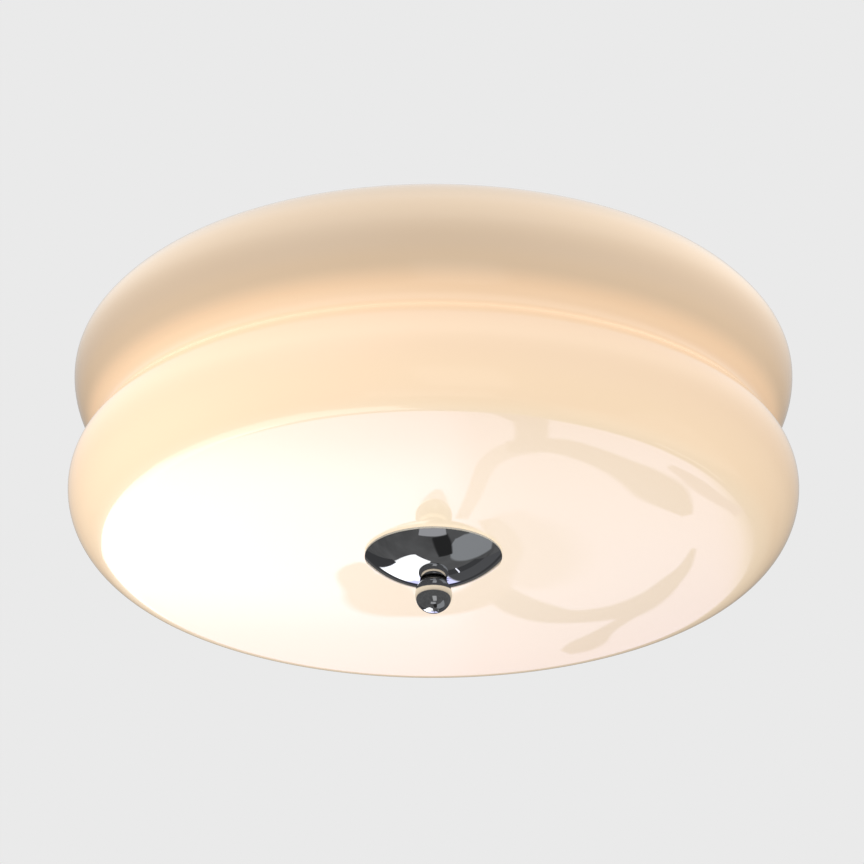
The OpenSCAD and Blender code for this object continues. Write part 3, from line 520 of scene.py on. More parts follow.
FINISHES: dict[Surface, Finish] = {
    Surface.OPAL: OpalGlass("Opal glass"),
    Surface.CHROME: Polish("Chrome"),
    Surface.ENAMEL: Enamel("White enamel"),
    Surface.ZINC: Metal("Zinc plated steel", (0.62, 0.63, 0.64), (0.50, 0.51, 0.50)),
    Surface.NICKEL: Metal("Nickel plated sheet", (0.66, 0.63, 0.57), (0.52, 0.49, 0.44), 0.2),
    Surface.SOLDER: Metal("Solder", (0.48, 0.48, 0.47), (0.36, 0.36, 0.36), 0.42, (400.0, 400.0, 400.0)),
    Surface.BRASS: Metal("Brass", (0.70, 0.48, 0.20), (0.55, 0.35, 0.13), 0.24),
    Surface.SILICONE: Moulding("Silicone", (0.72, 0.72, 0.70), (0.62, 0.62, 0.60), 0.5),
    Surface.RUBBER: Moulding("Black rubber", (0.022, 0.022, 0.022), (0.012, 0.012, 0.012), 0.6),
    Surface.IVORY: Moulding("Ivory thermoset", (0.70, 0.66, 0.54), (0.62, 0.57, 0.45), 0.38),
    Surface.WHITE: Moulding("White polyamide", (0.78, 0.78, 0.75), (0.70, 0.70, 0.66), 0.35),
    Surface.INSULATOR: Moulding("Black glass", (0.012, 0.012, 0.014), (0.03, 0.03, 0.034), 0.12),
    Surface.FROST: FrostedGlass("Frosted glass"),
    Surface.LIVE: Moulding("Brown insulation", (0.12, 0.045, 0.018), (0.09, 0.032, 0.012), 0.4),
    Surface.NEUTRAL: Moulding("Blue insulation", (0.02, 0.09, 0.40), (0.014, 0.065, 0.31), 0.4),
    Surface.EARTH: Moulding("Green insulation", (0.10, 0.30, 0.03), (0.36, 0.40, 0.02), 0.4, 260.0),
}


class GeometryTool:
    """A Geometry Nodes tree with named inputs, run on one object at a time."""

    def __init__(self, name: str) -> None:
        """Starts the tree with a geometry input and output.

        Args:
            name: The tree's name.
        """
        self.group = bpy.data.node_groups.new(name, "GeometryNodeTree")
        self.group.interface.new_socket("Geometry", in_out="OUTPUT", socket_type="NodeSocketGeometry")
        self.tree = Tree(self.group)
        self.entry = self.group.nodes.new("NodeGroupInput")

    def inputs(self, kinds: dict[str, str]) -> list[Wire]:
        """Adds named inputs.

        Args:
            kinds: The type of each, such as Int, Float, Material, Object or Geometry, by its name.

        Returns:
            The inputs' values inside the tree.
        """
        for name, kind in kinds.items():
            self.group.interface.new_socket(name, in_out="INPUT", socket_type=f"NodeSocket{kind}")
        return [Wire(self.tree, self.entry.outputs[name]) for name in kinds]

    def close(self, geometry: Wire, finish: Wire) -> None:
        """Ends the tree: instances are made real and the material is set."""
        real = self.tree.wire("GeometryNodeRealizeInstances", {}, {"Geometry": geometry})
        dressed = self.tree.wire("GeometryNodeSetMaterial", {}, {"Geometry": real, "Material": finish})
        self.tree.add("NodeGroupOutput", {}, {"Geometry": dressed})

    def run(self, base: bpy.types.Object, values: dict) -> bpy.types.Mesh:
        """Runs the tree on an object that is thrown away afterwards.

        Args:
            base: The object whose geometry goes in.
            values: The named inputs.

        Returns:
            The plain mesh that comes out.
        """
        modifier = base.modifiers.new("tool", "NODES")
        modifier.node_group = self.group
        for item in self.group.interface.items_tree:
            if item.in_out == "INPUT" and item.name in values:
                modifier[item.identifier] = values[item.name]
        graph = bpy.context.evaluated_depsgraph_get()
        mesh = bpy.data.meshes.new_from_object(base.evaluated_get(graph))
        bpy.data.objects.remove(base)
        return mesh


def scratch(points: list[Point], edges: list[tuple[int, int]] | None = None) -> bpy.types.Object:
    """An object that holds bare points for a tool to work on."""
    mesh = bpy.data.meshes.new("points")
    mesh.from_pydata(points, edges or [], [])
    return shown("points", mesh)


@dataclass(frozen=True)
class Thread:
    """A V or round thread on a stretch of a turned piece."""

    pitch: float
    depth: float
    start: float
    end: float


UNTHREADED = Thread(1.0, 0.0, 0.0, 0.0)


class Lathe(GeometryTool):
    """Turns a profile round Z, with a thread cut on a stretch of it."""

    def __init__(self) -> None:
        """Builds the tree."""
        super().__init__("Lathe")
        profile, segments, rings, pitch, depth, start, end, finish = self.inputs(
            {
                "Profile": "Geometry", "Segments": "Int", "Rings": "Int", "Thread Pitch": "Float",
                "Thread Depth": "Float", "Thread Start": "Float", "Thread End": "Float", "Finish": "Material",
            }
        )
        wire = self.tree.wire
        columns = segments + 1
        sheet = wire("GeometryNodeMeshGrid", {}, {"Vertices X": rings, "Vertices Y": columns})
        index = wire("GeometryNodeInputIndex")
        row = ((index + 0.5) / columns).maths("FLOOR")
        share = (index - row * columns) / segments
        found = wire(
            "GeometryNodeSampleIndex",
            {"data_type": "FLOAT_VECTOR", "domain": "POINT"},
            {"Geometry": profile, "Value": wire("GeometryNodeInputPosition"), "Index": row},
        )
        radius, _, height = self.tree.parts(found)
        phase = (height / pitch - share).maths("FRACT")
        wave = (phase * 2 - 1).maths("ABSOLUTE")
        inside = ((height - start) / pitch).clamped() * ((end - height) / pitch).clamped()
        cut = radius - depth * wave * inside
        turn = share * math.tau
        x, y = cut * turn.maths("COSINE"), cut * turn.maths("SINE")
        spot = wire("ShaderNodeCombineXYZ", {}, {0: x, 1: y, 2: height})
        moved = wire("GeometryNodeSetPosition", {}, {"Geometry": sheet, "Position": spot})
        joined = wire("GeometryNodeMergeByDistance", {}, {"Geometry": moved, "Distance": 1e-6})
        self.close(wire("GeometryNodeSetShadeSmooth", {}, {"Geometry": joined}), finish)

    def turn(
        self, profile: Profile, finish: Surface, segments: int, thread: Thread = UNTHREADED
    ) -> bpy.types.Mesh:
        """Turns a profile into a mesh.

        Args:
            profile: Radius and height of each point, in order round the section.
            finish: The finish of the whole piece.
            segments: Facets round the axis.
            thread: The thread on a stretch of the profile.

        Returns:
            The mesh, with its faces outwards.
        """
        values = {
            "Segments": segments, "Rings": len(profile), "Finish": finish.material,
            "Thread Pitch": thread.pitch, "Thread Depth": thread.depth,
            "Thread Start": thread.start, "Thread End": thread.end,
        }
        return outward(self.run(scratch([(r, 0.0, z) for r, z in profile]), values))


class Patterner(GeometryTool):
    """Sets copies of a prototype on points, each turned to its point's facing."""

    def __init__(self) -> None:
        """Builds the tree."""
        super().__init__("Patterner")
        points, model, finish = self.inputs(
            {"Points": "Geometry", "Prototype": "Object", "Finish": "Material"}
        )
        wire = self.tree.wire
        facing = wire("GeometryNodeInputNamedAttribute", {"data_type": "FLOAT_VECTOR"}, {"Name": "facing"})
        aimed = wire("FunctionNodeAlignRotationToVector", {"axis": "Z"}, {"Vector": facing})
        shape = wire("GeometryNodeObjectInfo", {}, {"Object": model}, "Geometry")
        values = {"Points": points, "Instance": shape, "Rotation": aimed}
        self.close(wire("GeometryNodeInstanceOnPoints", {}, values), finish)

    def spread(
        self, model: bpy.types.Mesh, spots: list[tuple[Point, Point]], finish: Surface
    ) -> bpy.types.Mesh:
        """Copies a prototype to each spot.

        Args:
            model: The prototype, which stands along +Z.
            spots: Place and facing of each copy.
            finish: The finish of all copies.

        Returns:
            One mesh with all copies.
        """
        base = scratch([place for place, _ in spots])
        facing = base.data.attributes.new("facing", "FLOAT_VECTOR", "POINT")
        facing.data.foreach_set("vector", [c for _, way in spots for c in way])
        holder = shown("prototype", model)
        mesh = self.run(base, {"Prototype": holder, "Finish": finish.material})
        bpy.data.objects.remove(holder)
        return mesh


class CableMaker(GeometryTool):
    """Sweeps a round section along a path."""

    def __init__(self) -> None:
        """Builds the tree."""
        super().__init__("Cable")
        path, radius, sides, finish = self.inputs(
            {"Path": "Geometry", "Radius": "Float", "Sides": "Int", "Finish": "Material"}
        )
        wire = self.tree.wire
        curve = wire("GeometryNodeMeshToCurve", {}, {0: path})
        ring = wire("GeometryNodeCurvePrimitiveCircle", {}, {"Resolution": sides, "Radius": radius})
        values = {"Curve": curve, "Profile Curve": ring, "Fill Caps": True}
        tube = wire("GeometryNodeCurveToMesh", {}, values)
        self.close(wire("GeometryNodeSetShadeSmooth", {}, {"Geometry": tube}), finish)

    def sweep(
        self, paths: list[list[Point]], radius: float, finish: Surface, sides: int = 16
    ) -> bpy.types.Mesh:
        """Makes one mesh of all the cables.

        Args:
            paths: The points that each cable follows.
            radius: The cable's radius.
            finish: The cable's finish.
            sides: Facets round the cable.

        Returns:
            The mesh, with its faces outwards.
        """
        points, edges = [], []
        for path in paths:
            first = len(points)
            points += path
            edges += [(first + i, first + i + 1) for i in range(len(path) - 1)]
        values = {"Radius": radius, "Sides": sides, "Finish": finish.material}
        return outward(self.run(scratch(points, edges), values))


def outward(mesh: bpy.types.Mesh) -> bpy.types.Mesh:
    """Turns every closed shell of a mesh so that its faces point outwards, and keeps sharp edges sharp.

    Args:
        mesh: A mesh of closed shells whose faces agree within each shell.

    Returns:
        The same mesh.
    """
    crease = math.radians(SHARP_TURN)
    work = bmesh.new()
    work.from_mesh(mesh)
    bmesh.ops.dissolve_degenerate(work, edges=work.edges, dist=1e-7)
    if work.calc_volume(signed=True) < 0:
        bmesh.ops.reverse_faces(work, faces=work.faces)
    for edge in work.edges:
        edge.smooth = not edge.is_manifold or edge.calc_face_angle(0.0) < crease
    for face in work.faces:
        face.smooth = True
    work.to_mesh(mesh)
    work.free()
    return mesh


def arc(centre: Pair, radius: float, start: float, end: float, steps: int) -> Profile:
    """Points on an arc, from one direction to another, in degrees."""
    turns = [math.radians(start + (end - start) * i / steps) for i in range(steps + 1)]
    return [(centre[0] + radius * math.cos(t), centre[1] + radius * math.sin(t)) for t in turns]


def heading(here: Pair, there: Pair) -> float:
    """Direction from one point to another, in degrees."""
    return math.degrees(math.atan2(there[1] - here[1], there[0] - here[0]))



def closed(ring: Profile) -> Profile:
    """A ring of points with its first point again at the end."""
    return ring + ring[:1]


def between(start: Pair, end: Pair, shares: tuple[float, ...]) -> Profile:
    """Points on the straight line from start to end, at these shares of its length."""
    return [(start[0] + (end[0] - start[0]) * t, start[1] + (end[1] - start[1]) * t) for t in shares]


def soft_ring(inner: float, outer: float, low: float, high: float, soft: float = SOFT) -> Profile:
    """Closed section of a flat ring with small rounded corners."""
    return closed(
        [
            (inner, low + soft), (inner + soft, low), (outer - soft, low), (outer, low + soft),
            (outer, high - soft), (outer - soft, high), (inner + soft, high), (inner, high - soft),
        ]
    )


def evenly(start: float, end: float, step: float) -> list[float]:
    """Heights from start to end, at most a step apart."""
    count = max(1, math.ceil(abs(end - start) / step))
    return [start + (end - start) * i / count for i in range(count + 1)]


def turned(point: Point, degrees: float) -> Point:
    """A point turned round the rod."""
    angle = math.radians(degrees)
    x, y, z = point
    return (x * math.cos(angle) - y * math.sin(angle), x * math.sin(angle) + y * math.cos(angle), z)


def along_lamp(turn: float) -> Matrix:
    """Lays a turned mesh along a lamp's axis, with its foot at the back of the lampholder."""
    stand = Matrix.Translation(turned((HOLDER_BACK, 0.0, LAMP_LEVEL), turn))
    return stand @ Matrix.Rotation(math.radians(turn), 4, "Z") @ Matrix.Rotation(math.pi / 2, 4, "Y")


class Workshop:
    """The tools that the sub-assemblies share."""

    def __init__(self) -> None:
        """Builds each tool once."""
        self.lathe = Lathe()
        self.patterner = Patterner()
        self.cables = CableMaker()

    def turn(
        self,
        name: str,
        node: str,
        body: str,
        section: Profile,
        finish: Surface,
        segments: int,
        thread: Thread = UNTHREADED,
        place: Matrix | None = None,
    ) -> None:
        """Turns a piece and fits it in place of its CAD node.

        Args:
            name: The piece's name.
            node: The CAD node that it stands for.
            body: The CAD body that it rides on.
            section: Radius and height of each point round its section.
            finish: Its finish.
            segments: Facets round the axis.
            thread: The thread on a stretch of it.
            place: Where it goes from the lathe, if it doesn't stay on the rod.
        """
        mesh = self.lathe.turn(section, finish, segments, thread)
        if place is not None:
            mesh.transform(place)
        self.fit(name, mesh, body, finish, node)

    @staticmethod
    def fit(name: str, mesh: bpy.types.Mesh, body: str, finish: Surface, *nodes: str) -> None:
        """Puts a finished mesh in the scene in place of its CAD nodes.

        Args:
            name: The piece's name.
            mesh: Its mesh, already in place.
            body: The CAD body that it rides on.
            finish: Its finish; not used.
            nodes: The CAD nodes that it stands for.
        """
        mesh.name = name
        piece = shown(name, mesh)
        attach(piece, body)
        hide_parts(*nodes)
        log.info("%s: %d faces on %s", name, len(mesh.polygons), body)

    @staticmethod
    def dress(finish: Surface, *nodes: str) -> None:
        """Gives carried-over CAD nodes their finish."""
        for node in nodes:
            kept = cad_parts[node]
            kept.data.materials.clear()
            kept.data.materials.append(finish.material)
            log.info("%s: dressed in %s", node, finish.value)


@dataclass
class GlassShade:
    """The two tier opal glass shell with its gasket and bush."""

    shop: Workshop
    upper_r: float = 0.1975
    lower_r: float = 0.200
    wall: float = 0.004
    shoulder_w: float = 0.051
    shoulder_h: float = 0.041
    nose_r: float = 0.0305
    flank_r: float = 0.0425
    waist_r: float = 0.0105
    brow_r: float = 0.0305
    lower_flank_r: float = 0.0355
    flank_turn: float = 53.0
    edge_r: float = 0.021
    sag: float = 0.004
    mouth_r: float = 0.1485
    hole_r: float = 0.007
    top_z: float = -0.0031
    pitch: float = 0.068
    segments: int = 240
    gap: float = PLAY
    rod_r: float = ROD_R
    cap_r: float = CAP_R
    seal_w: float = 0.0035
    seal_t: float = 0.0014
    rim_z: float = CAP_RIM_Z
    small_play: float = 0.0001
    rod_play: float = 0.0003
    bush_rise: float = 0.001
    flange_w: float = 0.005
    lip: tuple[float, ...] = (0.12, 0.5, 0.88)

    def __post_init__(self) -> None:
        """Works out the arcs of the section."""
        self.upper_z = self.top_z - self.shoulder_h
        self.lower_z = self.upper_z - self.pitch
        wide, high = self.shoulder_w - self.nose_r, self.shoulder_h - self.nose_r
        fall = (wide * wide - high * high) / (2 * high)
        self.shoulder_r = self.shoulder_h + fall
        self.shoulder_turn = math.degrees(math.atan2(fall, wide))
        self.shoulder_c = (self.upper_r - self.shoulder_w, self.upper_z - fall)
        self.nose_c = (self.upper_r - self.nose_r, self.upper_z)
        self.flank_c = (self.upper_r - self.flank_r, self.upper_z)
        self.brow_c = (self.lower_r - self.brow_r, self.lower_z)
        self.waist_c = self.meeting(
            self.flank_c, self.brow_c, self.flank_r + self.waist_r, self.brow_r + self.waist_r
        )
        self.lower_c = (self.lower_r - self.lower_flank_r, self.lower_z)
        turn = math.radians(-self.flank_turn)
        gap = self.lower_flank_r - self.edge_r
        self.edge_c = (self.lower_c[0] + gap * math.cos(turn), self.lower_c[1] + gap * math.sin(turn))
        self.dish_z = self.edge_c[1] - self.edge_r - self.sag
        self.dish_r = (self.edge_c[0] ** 2 + (self.edge_r + self.sag) ** 2 - self.edge_r**2) / (2 * self.sag)
        self.dish_c = (0.0, self.dish_z + self.dish_r)

    @staticmethod
    def meeting(a: Pair, b: Pair, ra: float, rb: float) -> Pair:
        """The point ra from a and rb from b, on the side away from the axis."""
        gap = math.dist(a, b)
        ex, ey = (b[0] - a[0]) / gap, (b[1] - a[1]) / gap
        along = (ra * ra - rb * rb + gap * gap) / (2 * gap)
        off = math.sqrt(ra * ra - along * along)
        return a[0] + ex * along - ey * off, a[1] + ey * along + ex * off

    def side(self, inset: float) -> Profile:
        """One face of the wall, from the mouth down to the hole in the dish.

        Args:
            inset: Distance inwards from the outer face.

        Returns:
            The face's points.
        """
        upper_end = heading(self.flank_c, self.waist_c)
        lower_start = heading(self.brow_c, self.waist_c)
        dish_end = heading(self.dish_c, self.edge_c)
        mouth = math.degrees(math.acos((self.mouth_r - self.shoulder_c[0]) / (self.shoulder_r - inset)))
        hole = -math.degrees(math.acos(self.hole_r / (self.dish_r - inset)))
        runs = [
            arc(self.shoulder_c, self.shoulder_r - inset, mouth, self.shoulder_turn, steps=22),
            arc(self.nose_c, self.nose_r - inset, self.shoulder_turn, 0, steps=16),
            arc(self.flank_c, self.flank_r - inset, 0, upper_end, steps=18),
            arc(self.waist_c, self.waist_r + inset, upper_end + 180, lower_start + 180, steps=16),
            arc(self.brow_c, self.brow_r - inset, lower_start, 0, steps=18),
            arc(self.lower_c, self.lower_flank_r - inset, 0, -self.flank_turn, steps=16),
            arc(self.edge_c, self.edge_r - inset, -self.flank_turn, dish_end, steps=12),
            arc(self.dish_c, self.dish_r - inset, dish_end, hole, steps=24),
        ]
        points = runs[0]
        for run in runs[1:]:
            points += run[1:]
        return points

    def section(self) -> Profile:
        """The whole wall as a closed ring, with its ground lips rounded."""
        outer, inner = self.side(0.0), self.side(self.wall)
        mouth = between(inner[0], outer[0], self.lip)
        hole = between(outer[-1], inner[-1], self.lip)
        return closed(mouth + outer + hole + inner[::-1])

    def build(self) -> None:
        """Makes the glass and its two soft pieces."""
        turn = self.shop.turn
        turn("opal_glass_shell", "glass_shade", "shade", self.section(), Surface.OPAL, self.segments)
        turn("rod_bush", "shade_bush", "shade", self.bush(), Surface.SILICONE, segments=72)
        inner, outer = self.cap_r - self.seal_w, self.cap_r - self.small_play
        seal = soft_ring(inner, outer, self.rim_z, self.rim_z + self.seal_t - self.gap)
        turn("cap_seal", "cap_gasket", "shade", seal, Surface.SILICONE, segments=144)

    def bush(self) -> Profile:
        """Section of the bush: a sleeve in the hole and a flange under the dish."""
        top = self.dish_z - self.gap
        low, high = top - self.seal_t + self.gap, top + self.wall + self.bush_rise + self.gap
        inner, sleeve = self.rod_r + self.rod_play, self.hole_r - self.small_play
        flange = self.hole_r + self.flange_w
        return closed(
            [
                (inner, low), (flange - SOFT, low), (flange, low + SOFT), (flange, top - SOFT),
                (flange - SOFT, top), (sleeve, top), (sleeve, high - SOFT), (sleeve - SOFT, high),
                (inner + SOFT, high), (inner, high - SOFT),
            ]
        )


@dataclass(frozen=True)
class Streak:
    """A soft edged band of light or shade that the glass and the chrome mirror.

    Attributes:
        name: The band's name.
        line: Place across, place up or back, and half width at each point, in millimetres.
        light: What it shows.
        cover: How much of what is behind it it hides.
        soft: Width of its faded edge, as a share of its half width.
        lying: True on the card under the light, False on the far wall.
        steps: Steps of the smooth curve from each point to the next.
        least: Narrowest that the faded edge gets.
    """

    name: str
    line: tuple[tuple[float, float, float], ...]
    light: Rgb
    cover: float = 1.0
    soft: float = 0.3
    lying: bool = False
    steps: int = 8
    least: float = 0.003

    def rows(self) -> list[tuple[Vector, Vector, float]]:
        """Points along a smooth curve through the line, each with its direction and half width."""
        knots = [Vector(k) * MM for k in self.line]
        ends = [knots[0] * 2 - knots[1], *knots, knots[-1] * 2 - knots[-2]]
        out = []
        for a, b, c, d in zip(ends, ends[1:], ends[2:], ends[3:]):
            slope, bend, twist = c - a, 2 * a - 5 * b + 4 * c - d, 3 * b - a - 3 * c + d
            for i in range(self.steps):
                t = i / self.steps
                spot = 0.5 * (2 * b + slope * t + bend * t**2 + twist * t**3)
                way = 0.5 * (slope + 2 * bend * t + 3 * twist * t**2)
                out.append((spot, way.xy.normalized(), spot.z))
        last = knots[-1]
        out.append((last, (last - knots[-2]).xy.normalized(), last.z))
        return out

    def mesh(self, level: float) -> bpy.types.Mesh:
        """The band as a strip whose cover attribute fades out at its edges.

        Args:
            level: Where its plane is: how far back the wall is, or how high the card.

        Returns:
            The strip.
        """
        points, cover, faces = [], [], []
        rows = self.rows()
        feather = [max(self.soft * width, self.least) for _, _, width in rows]
        first, last = rows[0], rows[-1]
        rows = [(first[0].xy - first[1] * feather[0], first[1], first[2]), *rows]
        rows.append((last[0].xy + last[1] * feather[-1], last[1], last[2]))
        feather = [feather[0], *feather, feather[-1]]
        for i, ((spot, way, width), soft) in enumerate(zip(rows, feather)):
            inside = 0.0 if i in (0, len(rows) - 1) else 1.0
            edges = (-width - soft / 2, -width + soft / 2, width - soft / 2, width + soft / 2)
            for reach, here in zip(edges, (0.0, inside, inside, 0.0)):
                x, other = spot.x - way.y * reach, spot.y + way.x * reach
                points.append((x, other, level) if self.lying else (x, level, other))
                cover.append(here)
            if i:
                start = 4 * (i - 1)
                faces += [(start + k, start + k + 1, start + k + 5, start + k + 4) for k in range(3)]
        made = bpy.data.meshes.new(self.name)
        made.from_pydata(points, [], faces)
        made.attributes.new("cover", "FLOAT", "POINT").data.foreach_set("value", cover)
        return made

    def paint(self, tree: Tree) -> Wire:
        """Glows where its cover is full and lets what is behind show where it isn't."""
        share = tree.wire("ShaderNodeAttribute", {"attribute_name": "cover"}, output="Fac")
        clear = tree.wire("ShaderNodeBsdfTransparent")
        return tree.either(share * self.cover, clear, tree.glow(self.light))


SHADE = (0.05, 0.07, 0.16)
HALF_SHADE = (0.30, 0.31, 0.46)
STREAKS = (
    Streak(
        "hook",
        (
            (68, -956, 17), (88, -922, 22), (115, -898, 22), (145, -888, 16), (180, -893, 17),
            (206, -905, 19), (231, -934, 15), (250, -969, 11), (266, -1002, 7), (278, -1046, 3),
        ),
        SHADE,
    ),
    Streak(
        "spike",
        ((134, -798, 8), (149, -811, 15), (163, -826, 14), (176, -848, 9), (194, -872, 7), (214, -898, 8)),
        SHADE,
    ),
    Streak(
        "vee_left",
        ((31, -1142, 7), (44, -1200, 9), (53, -1250, 10), (62, -1286, 12), (81, -1314, 17), (108, -1330, 21)),
        HALF_SHADE,
    ),
    Streak(
        "vee_right",
        (
            (85, -1326, 15), (137, -1326, 19), (175, -1300, 19), (206, -1266, 21), (231, -1231, 26),
            (250, -1194, 29), (266, -1156, 18), (275, -1130, 7),
        ),
        SHADE,
    ),
    Streak(
        "stem",
        ((109, -1328, 20), (112, -1360, 19), (112, -1390, 21), (112, -1440, 30), (110, -1540, 45)),
        SHADE,
    ),
    Streak(
        "edge",
        ((264, -1254, 5), (284, -1226, 12), (297, -1200, 15), (314, -1168, 15), (345, -1130, 22)),
        (0.2, 0.2, 0.4),
    ),
    Streak(
        "blob",
        (
            (-68, -1014, 14), (-80, -990, 22), (-62, -955, 34), (-48, -924, 40), (-18, -910, 26),
            (15, -914, 24), (40, -930, 24), (58, -956, 22), (64, -986, 20), (72, -1018, 18),
            (78, -1050, 18), (74, -1090, 16), (60, -1130, 12),
        ),
        (0.20, 0.18, 0.24),
    ),
    Streak(
        "haze",
        ((92, -962, 24), (112, -1000, 40), (108, -1050, 46), (95, -1095, 40), (82, -1136, 20)),
        HALF_SHADE,
        cover=0.6,
        soft=0.9,
    ),
    Streak("stub", ((1, -1118, 17), (1, -1160, 16), (3, -1186, 11), (5, -1204, 4)), (0.55, 0.55, 0.8)),
    Streak("slit", ((640, -1500, 14), (690, -1720, 20), (740, -2100, 22), (790, -2480, 16)), (1.3, 1.3, 1.4)),
    Streak(
        "low_window",
        ((-350, 840, 300), (-500, 1100, 420), (-620, 1500, 560), (-720, 2100, 740)),
        (1.4, 1.4, 1.4),
        soft=0.08,
        lying=True,
    ),
    Streak(
        "near_patch",
        ((-540, -620, 270), (-50, -620, 270), (460, -630, 270)),
        (0.36, 0.36, 0.37),
        soft=0.12,
        lying=True,
    ),
    Streak(
        "right_patch",
        ((660, 120, 260), (900, 300, 560), (1300, 600, 860), (2000, 800, 1150), (3000, 1000, 1500)),
        (0.29, 0.30, 0.31),
        cover=0.9,
        soft=0.15,
        lying=True,
    ),
    Streak(
        "camera_patch",
        ((380, -1250, 420), (400, -2200, 640), (420, -3600, 900)),
        (0.42, 0.42, 0.42),
        lying=True,
    ),
    Streak(
        "dark_patch",
        ((240, -310, 300), (330, 100, 300), (400, 650, 230)),
        (0.022, 0.022, 0.022),
        soft=0.25,
        lying=True,
    ),
)


@dataclass(frozen=True)
class FarWindow:
    """What the far wall shows: a bright window on the left, dimmer light on the right, dark beyond.

    Each pair says where a part begins and where it is full, in metres across the wall or up it.
    """

    pane: Pair = (0.06, 0.0)
    pane_top: Pair = (-0.98, -0.82)
    pane_foot: Pair = (-1.22, -1.38)
    rim: Pair = (-0.30, -0.40)
    right: Pair = (0.10, 0.30)
    beyond: Pair = (0.30, 0.38)
    sill: Pair = (-1.50, -1.60)
    plain_foot: Pair = (-1.48, -1.56)
    left_end: Pair = (-0.69, -0.62)
    top_end: Pair = (-0.50, -0.58)
    slant: float = 0.32
    light: float = 1.08
    pane_light: float = 0.92
    rim_light: float = 0.7
    right_light: float = 0.25
    top_loss: float = 0.85
    foot_loss: float = 0.6
    sill_loss: float = 0.9
    beyond_loss: float = 0.97
    least: float = 0.05
    right_tint: Rgb = (0.66, 0.67, 1.0)
    pane_tint: Rgb = (0.72, 0.70, 1.0)
    plain_tint: Rgb = (0.95, 0.96, 1.0)

    def paint(self, tree: Tree) -> Wire:
        """The wall's shader."""
        x, _, z = tree.parts(tree.place())
        pane = x.smooth(*self.pane) * (1 - self.top_loss * z.smooth(*self.pane_top))
        pane = pane * (1 - self.foot_loss * z.smooth(*self.pane_foot))
        rim, beyond = x.smooth(*self.rim), x.smooth(*self.beyond)
        level = self.light + self.pane_light * pane + self.rim_light * rim
        level = (level + self.right_light * x.smooth(*self.right)) * (1 - self.beyond_loss * beyond)
        level = level * (1 - self.sill_loss * z.smooth(*self.sill) * (1 - rim))
        shape = (x - self.slant * z).smooth(*self.left_end) * z.smooth(*self.top_end)
        cold = tree.blend(pane.clamped(), self.right_tint, self.pane_tint)
        plain = (rim + beyond + z.smooth(*self.plain_foot)).clamped()
        return tree.glow(tree.blend(plain, cold, self.plain_tint), level * shape + self.least)


@dataclass(frozen=True)
class DarkRoom:
    """What the bowl round the scene shows: a dim room with faint clouds, pale above the horizon.

    Attributes:
        least: Light of its darkest places.
        clouds: How much the clouds add.
        cloud_scale: Clouds for each metre.
        pale: Light well above the horizon.
        level: Height under the ceiling that the rise is measured from.
        rise: Slopes at which the room starts to get pale and where it is pale.
    """

    least: float = 0.05
    clouds: float = 0.09
    cloud_scale: float = 1.1
    pale: float = 0.82
    level: float = 0.1
    rise: Pair = (0.04, 0.9)

    def paint(self, tree: Tree) -> Wire:
        """The bowl's shader."""
        spot = tree.place()
        x, y, z = tree.parts(spot)
        slope = (z + self.level) / (x * x + y * y).maths("SQRT")
        dim = self.least + self.clouds * tree.noise(spot, self.cloud_scale, detail=3.0)
        return tree.glow((1.0, 1.0, 1.0), dim + (self.pale - dim) * slope.smooth(*self.rise))


@dataclass(frozen=True)
class SoftLamp:
    """A soft square lamp of the studio, which neither the camera nor mirrors see."""

    name: str
    place: Point
    size: float
    power: float
    tint: Rgb = (1.0, 1.0, 1.0)

    def hang(self, aim: Point) -> None:
        """Puts the lamp in the scene, shining towards a place."""
        light = bpy.data.lights.new(self.name, "AREA")
        light.size = self.size
        light.energy = self.power
        light.color = self.tint
        made = shown(self.name, light)
        made.location = self.place
        made.rotation_euler = (Vector(aim) - Vector(self.place)).to_track_quat("-Z", "Y").to_euler()
        made.visible_camera = False
        made.visible_glossy = False


STUDIO_LAMPS = (
    SoftLamp("key", (-1.3, -1.9, 0.4), 1.6, 16.0),
    SoftLamp("fill", (1.6, -1.4, -0.3), 1.6, 7.0),
    SoftLamp("under", (0.0, -0.6, -1.9), 1.6, 10.0, (1.0, 0.98, 0.96)),
    SoftLamp("over", (0.0, 0.0, 3.0), 0.8, 24.0),
)


